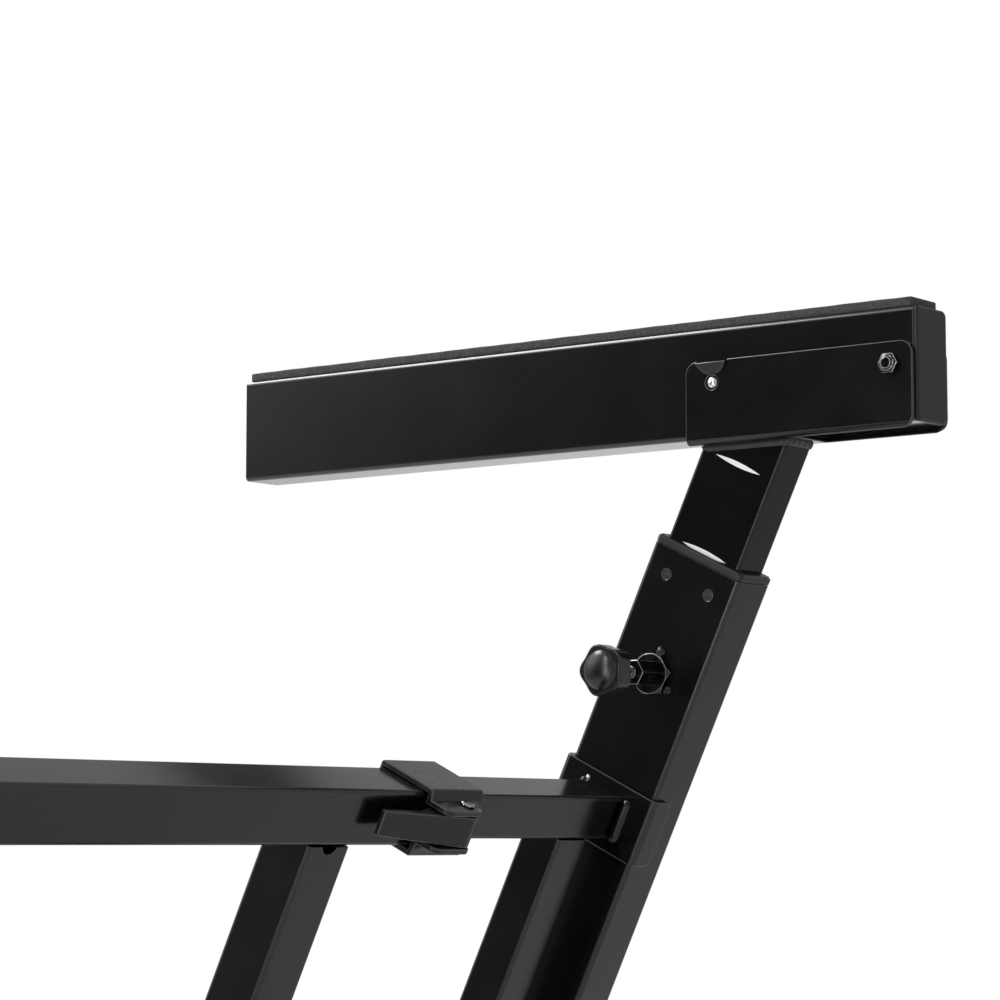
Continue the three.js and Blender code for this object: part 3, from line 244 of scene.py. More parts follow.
paper = bpy.data.materials.new("white_paper")
paper.use_nodes = True
nodes, links = paper.node_tree.nodes, paper.node_tree.links
nodes.clear()
ray = nodes.new("ShaderNodeLightPath")
matt = nodes.new("ShaderNodeBsdfDiffuse")
matt.inputs["Color"].default_value = (PAPER_WHITE, PAPER_WHITE, PAPER_WHITE, 1)
glow_strength = nodes.new("ShaderNodeMath")
glow_strength.operation = "MULTIPLY"
glow_strength.inputs[1].default_value = PAPER_GLOW
glow = nodes.new("ShaderNodeEmission")
near_floor = nodes.new("ShaderNodeAddShader")
links.new(ray.outputs["Is Camera Ray"], glow_strength.inputs[0])
links.new(glow_strength.outputs[0], glow.inputs["Strength"])
links.new(matt.outputs[0], near_floor.inputs[0])
links.new(glow.outputs[0], near_floor.inputs[1])
print("paper", PAPER_WHITE, "and a glow of", PAPER_GLOW)

# %% Make the far floor white to the camera and clear to gloss
white = nodes.new("ShaderNodeEmission")
through = nodes.new("ShaderNodeBsdfTransparent")
far_floor = nodes.new("ShaderNodeMixShader")
links.new(ray.outputs["Is Glossy Ray"], far_floor.inputs[0])
links.new(white.outputs[0], far_floor.inputs[1])
links.new(through.outputs[0], far_floor.inputs[2])
print("far floor strength", white.inputs["Strength"].default_value)

# %% Fade the near floor into the far one
FADE_START, FADE_END = 1.3, 3.2

place = nodes.new("ShaderNodeNewGeometry")
reach = nodes.new("ShaderNodeVectorMath")
reach.operation = "LENGTH"
fade = nodes.new("ShaderNodeMapRange")
fade.inputs["From Min"].default_value = FADE_START
fade.inputs["From Max"].default_value = FADE_END
whole_floor = nodes.new("ShaderNodeMixShader")
laid = nodes.new("ShaderNodeOutputMaterial")
links.new(place.outputs["Position"], reach.inputs[0])
links.new(reach.outputs["Value"], fade.inputs["Value"])
links.new(fade.outputs["Result"], whole_floor.inputs[0])
links.new(near_floor.outputs[0], whole_floor.inputs[1])
links.new(far_floor.outputs[0], whole_floor.inputs[2])
links.new(whole_floor.outputs[0], laid.inputs["Surface"])
floor_mesh.materials.append(paper)
print("fades from", FADE_START, "to", FADE_END, "m")

# %% [markdown]
# ## The grain of every coat
# Powder coat, moulded plastic, rubber and foam all have a fine grain, and differ in its scale and depth.
# Each material could have its own noise, but one node group keeps them alike and is changed in one place.
# It reads Object coordinates, which are metres here, so a scale of 1000 gives a pattern of about a
# millimetre. A larger noise makes patches in which the coat is duller. An attribute on the rounded edges
# mixes in the edge colour, a painted highlight, which on the steels is also wear.

# %% Give the grain group its sockets
grain = bpy.data.node_groups.new("fine_grain", "ShaderNodeTree")
GRAIN_SOCKETS = (
    ("Dark Colour", "INPUT", "Color"), ("Light Colour", "INPUT", "Color"),
    ("Edge Colour", "INPUT", "Color"),
    ("Grain Scale", "INPUT", "Float"), ("Cloud Scale", "INPUT", "Float"),
    ("Grain Depth", "INPUT", "Float"),
    ("Smoothest", "INPUT", "Float"), ("Roughest", "INPUT", "Float"),
    ("Colour", "OUTPUT", "Color"), ("Roughness", "OUTPUT", "Float"), ("Normal", "OUTPUT", "Vector"),
)
for name, way, kind in GRAIN_SOCKETS:
    grain.interface.new_socket(name=name, in_out=way, socket_type="NodeSocket" + kind)
nodes, links = grain.nodes, grain.links
entry = nodes.new("NodeGroupInput")
leave = nodes.new("NodeGroupOutput")
print("grain group sockets", len(grain.interface.items_tree))

# %% Draw its fine grain and its patches
FINE_DETAIL, CLOUD_DETAIL = 2, 3
PATCH_LOW, PATCH_HIGH = 0.3, 0.7

spot = nodes.new("ShaderNodeTexCoord")
fine = nodes.new("ShaderNodeTexNoise")
fine.inputs["Detail"].default_value = FINE_DETAIL
cloud = nodes.new("ShaderNodeTexNoise")
cloud.inputs["Detail"].default_value = CLOUD_DETAIL
patch = nodes.new("ShaderNodeMapRange")
patch.inputs["From Min"].default_value = PATCH_LOW
patch.inputs["From Max"].default_value = PATCH_HIGH
links.new(spot.outputs["Object"], fine.inputs["Vector"])
links.new(spot.outputs["Object"], cloud.inputs["Vector"])
links.new(entry.outputs["Grain Scale"], fine.inputs["Scale"])
links.new(entry.outputs["Cloud Scale"], cloud.inputs["Scale"])
links.new(cloud.outputs["Fac"], patch.inputs["Value"])
print("patches between", PATCH_LOW, "and", PATCH_HIGH)

# %% Turn them into colour, roughness and bump
GRAIN_HEIGHT = 0.1 * MM

tone = nodes.new("ShaderNodeMix")
tone.data_type = "RGBA"
# This attribute marks the rounded edges, which get a painted highlight, and on the steels also wear.
edge = nodes.new("ShaderNodeAttribute")
edge.attribute_name = "edge_highlight_and_wear_mask"
rim = nodes.new("ShaderNodeMix")
rim.data_type = "RGBA"
spread = nodes.new("ShaderNodeMapRange")
bump = nodes.new("ShaderNodeBump")
bump.inputs["Distance"].default_value = GRAIN_HEIGHT
links.new(patch.outputs["Result"], tone.inputs["Factor"])
links.new(entry.outputs["Dark Colour"], tone.inputs["A"])
links.new(entry.outputs["Light Colour"], tone.inputs["B"])
links.new(edge.outputs["Fac"], rim.inputs["Factor"])
links.new(tone.outputs["Result"], rim.inputs["A"])
links.new(entry.outputs["Edge Colour"], rim.inputs["B"])
links.new(patch.outputs["Result"], spread.inputs["Value"])
links.new(entry.outputs["Smoothest"], spread.inputs["To Min"])
links.new(entry.outputs["Roughest"], spread.inputs["To Max"])
links.new(fine.outputs["Fac"], bump.inputs["Height"])
links.new(entry.outputs["Grain Depth"], bump.inputs["Strength"])
links.new(rim.outputs["Result"], leave.inputs["Colour"])
links.new(spread.outputs["Result"], leave.inputs["Roughness"])
links.new(bump.outputs["Normal"], leave.inputs["Normal"])
print("grain group nodes", len(nodes))

# %% [markdown]
# ## The finishes
# Each is named for what it is on the stand. Sizes are in millimetres: the grain first, then the patches
# in which the coat is a little duller. What is the same all over a surface, such as a coat's weight or
# the tint of its gloss, is set on the shader itself, because the export reads it only there.

# %% A helper that makes one finish
# Each finish's edge colour is a painted highlight on its rounded edges, and on the steels also wear.
def finish(name, dark, light, edge_highlight_and_wear, grain_size, patch_size, depth, rough, **fixed):
    material = bpy.data.materials.new(name)
    material.use_nodes = True
    nodes, links = material.node_tree.nodes, material.node_tree.links
    shader = nodes["Principled BSDF"]
    for socket_name, value in fixed.items():
        shader.inputs[socket_name.replace("_", " ")].default_value = value
    surface = nodes.new("ShaderNodeGroup")
    surface.node_tree = grain
    for socket_name, value in (
        ("Dark Colour", (*dark, 1)), ("Light Colour", (*light, 1)), ("Edge Colour", (*edge_highlight_and_wear, 1)),
        ("Grain Scale", 1 / (grain_size * MM)), ("Cloud Scale", 1 / (patch_size * MM)),
        ("Grain Depth", depth), ("Smoothest", rough[0]), ("Roughest", rough[1]),
    ):
        surface.inputs[socket_name].default_value = value
    links.new(surface.outputs["Colour"], shader.inputs["Base Color"])
    links.new(surface.outputs["Roughness"], shader.inputs["Roughness"])
    links.new(surface.outputs["Normal"], shader.inputs["Normal"])
    print(name, "roughness", rough)
    return material


# %% [markdown]
# The frame is satin black and the arms are glossier. Paint on a post that slides in another is thin and
# even. The gloss is tinted a little, because the photograph's reflections are slightly blue.

# %% Make the paints of the tubes
# A lighter grey on the paints' rounded edges, as a painted highlight.
PAINT_EDGE_HIGHLIGHT = (0.05, 0.051, 0.054)
COOL_GLOSS = (0.93, 0.96, 1.0, 1)

frame_paint = finish(
    "satin_black_paint", dark=(0.0022, 0.0024, 0.0031), light=(0.0036, 0.0039, 0.0049),
    edge_highlight_and_wear=PAINT_EDGE_HIGHLIGHT, grain_size=0.9, patch_size=45, depth=0.05, rough=(0.15, 0.2),
    Specular_Tint=COOL_GLOSS)
arm_paint = finish(
    "gloss_black_paint", dark=(0.0034, 0.0038, 0.0048), light=(0.0052, 0.0057, 0.0071),
    edge_highlight_and_wear=PAINT_EDGE_HIGHLIGHT, grain_size=1.4, patch_size=55, depth=0.02, rough=(0.12, 0.16),
    Coat_Weight=0.2, Coat_Roughness=0.08, Specular_Tint=COOL_GLOSS)
sliding_paint = finish(
    "sliding_post_paint", dark=(0.0022, 0.0025, 0.0029), light=(0.0036, 0.004, 0.0046),
    edge_highlight_and_wear=PAINT_EDGE_HIGHLIGHT, grain_size=1.1, patch_size=50, depth=0.05, rough=(0.15, 0.19),
    Specular_IOR_Level=0.25, Specular_Tint=COOL_GLOSS)

# %% [markdown]
# The clamps are castings under a thicker, duller coat with a coarse grain. A weld bead is rougher still,
# and the height marks are matt white paint.

# %% Make the paints of the castings, the welds and the marks
clamp_paint = finish(
    "cast_black_paint", dark=(0.0105, 0.0113, 0.0138), light=(0.0148, 0.0158, 0.0188),
    edge_highlight_and_wear=(0.07, 0.072, 0.078), grain_size=3.4, patch_size=5.0, depth=0.16, rough=(0.24, 0.34),
    Specular_IOR_Level=0.38, Specular_Tint=COOL_GLOSS)
weld_paint = finish(
    "painted_weld", dark=(0.008, 0.0085, 0.0095), light=(0.032, 0.033, 0.036),
    edge_highlight_and_wear=(0.05, 0.051, 0.055), grain_size=1.2, patch_size=1.6, depth=0.7, rough=(0.34, 0.5))
mark_paint = finish(
    "white_mark_paint", dark=(0.9, 0.9, 0.895), light=(0.96, 0.96, 0.955),
    edge_highlight_and_wear=(0.95, 0.95, 0.95), grain_size=0.7, patch_size=5, depth=0.1, rough=(0.45, 0.6))

# %% [markdown]
# Moulded plastic is greyer and duller than the paint. The arms' end plugs are the dullest, and the knob
# has the gloss of a polished mould.

# %% Make the plastics
# A lighter grey on the plastics' rounded edges, as a painted highlight.
PLASTIC_EDGE_HIGHLIGHT = (0.025, 0.025, 0.026)

moulded_plastic = finish(
    "moulded_plastic", dark=(0.006, 0.006, 0.0065), light=(0.0105, 0.0105, 0.0112),
    edge_highlight_and_wear=PLASTIC_EDGE_HIGHLIGHT, grain_size=0.6, patch_size=25, depth=0.3, rough=(0.34, 0.46))
plug_plastic = finish(
    "end_plug_plastic", dark=(0.006, 0.006, 0.0063), light=(0.012, 0.012, 0.0125),
    edge_highlight_and_wear=PLASTIC_EDGE_HIGHLIGHT, grain_size=0.9, patch_size=4, depth=0.5, rough=(0.42, 0.52),
    Specular_IOR_Level=0.35)
knob_plastic = finish(
    "knob_plastic", dark=(0.005, 0.0052, 0.006), light=(0.0085, 0.0087, 0.0098),
    edge_highlight_and_wear=PLASTIC_EDGE_HIGHLIGHT, grain_size=0.6, patch_size=14, depth=0.1, rough=(0.2, 0.27),
    Specular_IOR_Level=0.55)

# %% [markdown]
# The shoes are matt rubber. The foam shows its cells, about a millimetre wide, so its light and dark
# tones are far apart and change quickly.

# %% Make the rubber and the foam
shoe_rubber = finish(
    "shoe_rubber", dark=(0.01, 0.01, 0.01), light=(0.018, 0.018, 0.018),
    edge_highlight_and_wear=(0.03, 0.03, 0.03), grain_size=1.1, patch_size=28, depth=0.5, rough=(0.6, 0.8))
foam_skin = finish(
    "foam_strip", dark=(0.022, 0.022, 0.0236), light=(0.086, 0.086, 0.0895),
    edge_highlight_and_wear=(0.06, 0.06, 0.062), grain_size=0.7, patch_size=1.1, depth=0.9, rough=(0.85, 0.98))

# %% [markdown]
# The nuts, the bolts and the plungers' bodies are blackened steel, whose edges are painted light: bare
# steel where it wears, and a painted highlight. The snap buttons, the index pins and the springs are zinc
# plated and bright.

# %% Make the steels
black_steel = finish(
    "black_oxide_steel", dark=(0.02, 0.02, 0.022), light=(0.075, 0.075, 0.08),
    edge_highlight_and_wear=(0.5, 0.5, 0.52), grain_size=0.8, patch_size=6, depth=0.1, rough=(0.13, 0.22), Metallic=1.0)
bright_zinc = finish(
    "bright_zinc", dark=(0.66, 0.67, 0.69), light=(0.84, 0.85, 0.87),
    edge_highlight_and_wear=(0.95, 0.95, 0.96), grain_size=1.1, patch_size=11, depth=0.08, rough=(0.14, 0.26), Metallic=1.0)

# %% Say which slot gets which finish
FINISH_OF_SLOT = {
    "frame_paint": frame_paint, "arm_paint": arm_paint, "clamp_paint": clamp_paint,
    "black_plastic": moulded_plastic, "knob_plastic": knob_plastic, "black_rubber": shoe_rubber,
    "foam": foam_skin, "black_steel": black_steel, "bright_steel": bright_zinc,
}
FINISH_OF_KIND = {"inner_post": sliding_paint, "arm_plug": plug_plastic}
slot_of = {part["node"]: part["material_slot"] for part in frame["record"]["subparts"]}


def finish_for(node):
    return next((made for kind, made in FINISH_OF_KIND.items() if kind in node),
                FINISH_OF_SLOT[slot_of[node]])


print("slots", sorted(FINISH_OF_SLOT), "and kinds", sorted(FINISH_OF_KIND))

# %% [markdown]
# ## Dressing the pressed and welded pieces
# A sawn tube or folded sheet never has a perfectly sharp edge, and the paint rounds it a little more. A
# Bevel modifier could round it, but the bevel operator gives back the faces that it makes, which can then
# get a painted highlight. The imported mesh is loose triangles, and a bevel needs faces that share their
# edges.
# So a copy is merged, its flat faces are joined again, and each crease gets a narrow bevel.

# %% A helper that turns a shape into a piece of the stand
body_of = {n: b for b, ns in frame["record"]["behaviour"]["bodies"].items() for n in ns}
SMOOTH_UP_TO = 40.0


def settle(shape, name, body, material, smooth_up_to=SMOOTH_UP_TO):
    mesh = bpy.data.meshes.new(name)
    shape.to_mesh(mesh)
    shape.free()
    mesh.materials.append(material)
    mesh.polygons.foreach_set("use_smooth", [True] * len(mesh.polygons))
    mesh.set_sharp_from_angle(angle=math.radians(smooth_up_to))
    piece = bpy.data.objects.new(name, mesh)
    bpy.context.scene.collection.objects.link(piece)
    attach(piece, body)
    return piece


def level_faces(piece):
    level = piece.modifiers.new("flat faces stay flat", "WEIGHTED_NORMAL")
    level.keep_sharp = True


print("smooth up to", SMOOTH_UP_TO, "degrees")

# %% [markdown]
# The rounded edges are painted lighter than the faces, as a painted highlight, and on the steels also as
# wear. The new faces of a bevel get the full mark, which the grain group reads. The imported tubes have one
# narrow facet along each corner, and that facet gets a weaker mark, a fainter painted highlight.

# %% A helper that marks the corners of a tube
CORNER_WIDTH = 1.6 * MM
CORNER_LENGTH = 20 * CORNER_WIDTH
# How strongly tube corners and bevels take the edge colour: a painted highlight, and wear on the steels.
CORNER_HIGHLIGHT_AND_WEAR, BEVEL_HIGHLIGHT_AND_WEAR = 0.3, 1.0


def mark_corners(shape, mark):
    for face in shape.faces:
        sides = sorted(e.calc_length() for e in face.edges)
        if len(sides) == 4 and sides[1] < CORNER_WIDTH and sides[2] > CORNER_LENGTH:
            face[mark] = CORNER_HIGHLIGHT_AND_WEAR


print("corners up to", CORNER_WIDTH / MM, "mm wide")

# %% [markdown]
# Two bevels can cross at a tight corner, which turns a triangle over. The bevel's own clamp would stop
# that, but it narrows every bevel of the piece to suit its tightest corner. So the points of a triangle
# that is turned over are merged with each other, first only the nearest ones and then farther ones.

# %% A helper that merges crossed points
SMALLEST_CROSS = 1e-10
THINNEST = 0.001 * MM
MERGE_REACHES = (0.08 * MM, 0.16 * MM, 0.3 * MM, 0.5 * MM)


def crossed_points(shape):
    found = set()
    for loops in shape.calc_loop_triangles():
        a, b, c = (loop.vert.co for loop in loops)
        normal = (b - a).cross(c - a)
        if normal.length > SMALLEST_CROSS and normal.dot(loops[0].face.normal) < 0:
            found.update(loop.vert for loop in loops)
    return [v for v in shape.verts if v in found]


def untangle(shape):
    for merge_reach in MERGE_REACHES:
        shape.normal_update()
        crossed = crossed_points(shape)
        if crossed:
            bmesh.ops.remove_doubles(shape, verts=crossed, dist=merge_reach)
            bmesh.ops.dissolve_degenerate(shape, dist=THINNEST, edges=shape.edges[:])
    shape.normal_update()


print("merges up to", MERGE_REACHES[-1] / MM, "mm apart")

# %% A helper that rounds the creases of a copy
LEAST_CREASE = math.radians(40)
PLAIN_RADIUS = 0.3 * MM
NARROW_STEPS, WIDE_STEPS = 2, 3


def round_creases(shape, width, small_face):
    # This mask puts the painted edge highlight, and on the steels wear, on the marked faces.
    mark = shape.faces.layers.float.new("edge_highlight_and_wear_mask")
    mark_corners(shape, mark)
    steps = WIDE_STEPS if width > PLAIN_RADIUS else NARROW_STEPS
    creases = [e for e in shape.edges if e.is_manifold and e.is_convex
               and e.calc_face_angle() > LEAST_CREASE
               and max(f.calc_area() for f in e.link_faces) > small_face]
    made = bmesh.ops.bevel(shape, geom=creases, offset=width, offset_type="OFFSET", segments=steps,
                           profile=0.5, affect="EDGES", clamp_overlap=False, material=-1)
    for face in made["faces"]:
        face[mark] = BEVEL_HIGHLIGHT_AND_WEAR
    untangle(shape)


print("creases over", round(math.degrees(LEAST_CREASE)), "degrees are rounded")

# %% A helper that dresses one node
MERGE_BEFORE_BEVEL = 0.06 * MM
MERGE_ONLY = 0.001 * MM
FLAT_WITHIN = math.radians(0.4)


def dressed(node, width=0, small_face=0, body=None):
    shape = bmesh.new()
    shape.from_mesh(frame["nodes"][node].data)
    merge = MERGE_BEFORE_BEVEL if width else MERGE_ONLY
    bmesh.ops.remove_doubles(shape, verts=shape.verts, dist=merge)
    bmesh.ops.dissolve_limit(shape, angle_limit=FLAT_WITHIN, verts=shape.verts, edges=shape.edges)
    if width:
        round_creases(shape, width, small_face)
    piece = settle(shape, "dressed_" + node, body or body_of[node], finish_for(node))
    level_faces(piece)
    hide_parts(node)
    return piece


print("faces within", round(math.degrees(FLAT_WITHIN), 1), "degrees are joined")

# %% [markdown]
# Each kind of piece has its own edge: a rubber shoe is rounder than a folded bracket, and a plunger nut is
# nearly sharp. One radius for all would be simpler, but would look moulded. A crease between two small
# faces, such as those of a small hole, stays sharp, because a bevel there would be wider than the faces.

# %% Dress the pieces, each with the edge radius of its kind
EDGE_RADIUS = {
    "arm_bracket": 0.6 * MM,
    "arm_tube": 0.4 * MM,
    "saddle": 0.7 * MM,
    "clamp": 0.7 * MM,
    "shoe": 1.2 * MM,
    "collar": 0.4 * MM,
    "plunger_nut": 0.12 * MM,
}
SMALL_FACE = {"arm_bracket": 60 * MM ** 2}
PLAIN_SMALL_FACE = 5 * MM ** 2
MADE_LATER = ("arm_foam", "index_knob", "plunger_spring")

for node in frame["nodes"]:
    if not node.endswith(MADE_LATER):
        radius = next((r for kind, r in EDGE_RADIUS.items() if kind in node), PLAIN_RADIUS)
        small = next((a for kind, a in SMALL_FACE.items() if kind in node), PLAIN_SMALL_FACE)
        dressed(node, radius, small)

# %% [markdown]
# ## The two sides
# The sides are mirror images, so a side's pieces are drawn once, with x = 0 at the post's middle and the
# stand's middle towards +x. A Mirror modifier would join both sides into one piece, so each shape is put
# on its side with a matrix. The posts lean, so their pieces are drawn upright and then turned.

# %% Place a shape on its side of the stand
HANDS = {"left": -1, "right": 1}
HALF_SPAN = 402 * MM
LEAN = math.radians(25.6)
POST_FOOT_Y = -150 * MM
FOOT_TOP = 68.3 * MM
SAME_POINT = 1e-7
ALONG_X = Matrix(((0, 0, 1, 0), (1, 0, 0, 0), (0, 1, 0, 0), (0, 0, 0, 1)))


def leaning(point):
    foot = Matrix.Translation((0, POST_FOOT_Y, FOOT_TOP))
    return foot @ Matrix.Rotation(-LEAN, 4, "X") @ Matrix.Translation(point)


def put_on_side(shape, hand, place):
    mirror = Matrix.Scale(-hand, 4, (1, 0, 0))
    whole = Matrix.Translation((hand * HALF_SPAN, 0, 0)) @ mirror @ place
    bmesh.ops.transform(shape, matrix=whole, verts=shape.verts)
    bmesh.ops.remove_doubles(shape, verts=shape.verts, dist=SAME_POINT)
    bmesh.ops.recalc_face_normals(shape, faces=shape.faces)


print("post leans", round(math.degrees(LEAN), 1), "degrees")

# %% [markdown]
# ## The plunger springs
# A coil spring pushes each index pin home. One end rests on the pin and the other on the end wall of the
# plunger's body. It could ride on the pin as the imported spring does, but it would then go through that
# wall. So it stays in the body.

for name, hand in HANDS.items():
    low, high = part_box(f"{name}_plunger_spring")
    wall = Vector((high.x if hand < 0 else low.x, low.y, low.z))
    spring = dressed(f"{name}_plunger_spring", body=f"{name}_side")
    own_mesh(spring)

# %% [markdown]
# ## The foam strip
# A foam strip is glued along the top of each arm so that the keyboard doesn't slide. It is cut square,
# and its long edges are softly rounded. A texture could draw its unevenness, but the top edge stands
# against the background and shows it. So a cube is scaled, its edges are bevelled, and the strip is cut
# across into short lengths whose top rises and falls by a tenth of a millimetre.

# %% Make the foam strips
FOAM_ROUND, FOAM_STEPS = 1.1 * MM, 4
FOAM_CUTS = 90
FOAM_WAVE = 0.12 * MM
SHORT_WAVE, LONG_WAVE, WAVE_START = 310, 97, 1.3


def foam_strip(name):
    low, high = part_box(f"{name}_arm_foam")
    low.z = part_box(f"{name}_arm_tube")[1].z
    size, middle = high - low, (low + high) / 2
    block = Matrix.Translation(middle) @ Matrix.Diagonal((*size, 1))
    shape = bmesh.new()
    bmesh.ops.create_cube(shape, size=1, matrix=block)
    bmesh.ops.bevel(shape, geom=shape.edges[:], offset=FOAM_ROUND, offset_type="OFFSET",
                    segments=FOAM_STEPS, profile=0.5, affect="EDGES", clamp_overlap=True, material=-1)
    long_edges = [e for e in shape.edges if abs(e.verts[0].co.y - e.verts[1].co.y) > size.y / 2]
    bmesh.ops.subdivide_edges(shape, edges=long_edges, cuts=FOAM_CUTS, use_grid_fill=True)
    for vert in shape.verts:
        if vert.co.z > middle.z:
            along = vert.co.y
            wave = math.sin(along * SHORT_WAVE) + math.sin(along * LONG_WAVE + WAVE_START)
            vert.co.z += FOAM_WAVE * wave / 2 - FOAM_WAVE
    piece = settle(shape, f"{name}_foam", f"{name}_arm", foam_skin)
    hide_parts(f"{name}_arm_foam")
    return size


for name in HANDS:
    print(name, "foam", [round(v / MM, 1) for v in foam_strip(name)])

# %% [markdown]
# ## The index knob
# A five-lobed plastic knob with a domed cap. A few cylinders could be joined by a Boolean, but its seams
# would be sharp. So the wheel starts as a circle whose points are drawn in between the lobes, is extruded
# to its thickness and gets rounded rims. The dome is half of a sphere that is cut with a plane and
# flattened. It is narrower than the wheel, so a step shows round it, as on the real knob.

# %% Two helpers that pick parts of a shape
LEVEL_WITHIN = 1e-9


def points_of(geometry):
    return [part for part in geometry if isinstance(part, bmesh.types.BMVert)]


def height_between_ends(edge):
    return abs(edge.verts[0].co.z - edge.verts[1].co.z)


print("an edge is level within", LEVEL_WITHIN / MM, "mm")

# %% Draw the knob's wheel
KNOB_BACK, KNOB_FRONT = 53.5 * MM, 64 * MM
KNOB_RADIUS, KNOB_WAIST, KNOB_LOBES = 14.2 * MM, 12.5 * MM, 5
KNOB_RIM, RIM_STEPS = 1.1 * MM, 4
WHEEL_POINTS = 100


def knob_wheel(shape):
    bmesh.ops.create_circle(shape, segments=WHEEL_POINTS, radius=1, cap_ends=True)
    for vert in shape.verts:
        turned_by = math.atan2(vert.co.y, vert.co.x) - math.pi - LEAN
        lobe = 0.5 + 0.5 * math.cos(KNOB_LOBES * turned_by)
        vert.co *= KNOB_WAIST + (KNOB_RADIUS - KNOB_WAIST) * lobe
        vert.co.z = KNOB_BACK
    front = bmesh.ops.extrude_face_region(shape, geom=shape.faces[:])["geom"]
    bmesh.ops.translate(shape, verts=points_of(front), vec=(0, 0, KNOB_FRONT - KNOB_BACK))
    rims = [e for e in shape.edges if height_between_ends(e) < LEVEL_WITHIN]
    bmesh.ops.bevel(shape, geom=rims, offset=KNOB_RIM, offset_type="OFFSET", segments=RIM_STEPS,
                    profile=0.5, affect="EDGES", clamp_overlap=True, material=-1)


print("knob", round(2 * KNOB_RADIUS / MM, 1), "mm across its lobes")

# %% Set the dome on it
DOME_RADIUS, DOME_RISE, DOME_SUNK = 10.7 * MM, 4.0 * MM, 0.2 * MM
DOME_AROUND, DOME_UP = 64, 32


def knob_dome(shape):
    bmesh.ops.create_uvsphere(shape, u_segments=DOME_AROUND, v_segments=DOME_UP, radius=DOME_RADIUS)
    ball = [v for v in shape.verts if v.co.z < KNOB_BACK / 2]
    of_ball = set(ball)
    skin = [e for e in shape.edges if of_ball.issuperset(e.verts)]
    skin += [f for f in shape.faces if of_ball.issuperset(f.verts)]
    bmesh.ops.bisect_plane(shape, geom=ball + skin, plane_co=(0, 0, 0), plane_no=(0, 0, 1),
                           clear_inner=True)
    for vert in shape.verts:
        if vert.co.z < KNOB_BACK / 2:
            vert.co.z = KNOB_FRONT - DOME_SUNK + vert.co.z * DOME_RISE / DOME_RADIUS


print("dome", round(2 * DOME_RADIUS / MM, 1), "mm wide and", DOME_RISE / MM, "mm high")

# %% Add the hub and fit the knobs
HUB_RADIUS, HUB_START, HUB_POINTS = 6 * MM, 49.5 * MM, 48
PLUNGER_RISE = 501.7 * MM
KNOB_SMOOTH_UP_TO = 50


def knob_hub(shape):
    middle = Matrix.Translation((0, 0, (KNOB_BACK + HUB_START) / 2))
    bmesh.ops.create_cone(shape, segments=HUB_POINTS, radius1=HUB_RADIUS, radius2=HUB_RADIUS,
                          cap_ends=True, depth=KNOB_BACK - HUB_START, matrix=middle)


for name, hand in HANDS.items():
    shape = bmesh.new()
    knob_wheel(shape)
    knob_dome(shape)
    knob_hub(shape)
    put_on_side(shape, hand, leaning((0, 0, PLUNGER_RISE)) @ ALONG_X)
    knob = settle(shape, f"{name}_knob", f"{name}_index", knob_plastic, KNOB_SMOOTH_UP_TO)
    level_faces(knob)
    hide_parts(f"{name}_index_knob")
    print(knob.name, "faces", len(knob.data.polygons))

# %% [markdown]
# ## The height marks
# Two white marks are printed across the inner face of each inner post, 51 mm apart, and show the height
# that is set. They could be drawn by the post's material, but a piece of their own keeps a crisp outline.
# Each is a thin lens: a circle that is stretched, with its ends drawn to points.

# %% Print the height marks
MARK_POINTS = 64
MARK_HALF = 15.5 * MM
MARK_THICK = 1.35 * MM
MARK_PROUD = 0.04 * MM
INNER_FACE = 12 * MM
MARK_ACROSS = 0.5 * MM
POST_RUN = 640 * MM
MARK_DROPS = (16.0 * MM, 66.9 * MM)
LENS_TIP = 1e-6


def height_mark():
    shape = bmesh.new()
    bmesh.ops.create_circle(shape, segments=MARK_POINTS, radius=1, cap_ends=True)
    for vert in shape.verts:
        along, rise = vert.co.x, vert.co.y
        taper = 1 - along * along
        rise = math.copysign(taper, rise) * MARK_THICK if abs(rise) > LENS_TIP else 0
        vert.co = (0, along * MARK_HALF, rise)
    lens = bmesh.ops.extrude_face_region(shape, geom=shape.faces[:])["geom"]
    bmesh.ops.translate(shape, verts=points_of(lens), vec=(MARK_PROUD, 0, 0))
    return shape


for name, hand in HANDS.items():
    for number, drop in enumerate(MARK_DROPS, 1):
        shape = height_mark()
        put_on_side(shape, hand, leaning((INNER_FACE, MARK_ACROSS, POST_RUN - drop)))
        mark = settle(shape, f"{name}_height_mark_{number}", f"{name}_post", mark_paint)
print("marks at", [round(d / MM, 1) for d in MARK_DROPS])

# %% [markdown]
# ## Peg heads and saddle pins
# The collar's two pegs end in small dished heads in the post's inner face, and a small bright pin sits in
# each upper saddle. Such small round parts could be made from spheres and cones, but one profile that is
# spun round gives the dish and the rim at once, as a lathe does.

# %% A helper that turns a profile as a lathe does
def turned(shape, profile, steps):
    ring = [shape.verts.new((r * MM, 0, h * MM)) for r, h in profile]
    edges = [shape.edges.new(pair) for pair in zip(ring, ring[1:])]
    bmesh.ops.spin(shape, geom=ring + edges, cent=(0, 0, 0), axis=(0, 0, 1), dvec=(0, 0, 0),
                   angle=2 * math.pi, steps=steps, use_merge=True, use_duplicate=False)
    bmesh.ops.remove_doubles(shape, verts=shape.verts, dist=MERGE_ONLY)


print("turned points merge within", MERGE_ONLY / MM, "mm")

# %% Make the peg heads
PEG_PROFILE = (
    (0, 0.5), (0.9, 0.45), (1.5, 0.25), (1.8, 0), (2.2, 0.02), (3.1, 0.55), (3.35, 0.5), (3.5, -0.5),
)
PEG_STEPS = 32
PEG_FACE = 15.2 * MM
PEG_SPACING = 29.6 * MM
PEG_RISE = 553.7 * MM

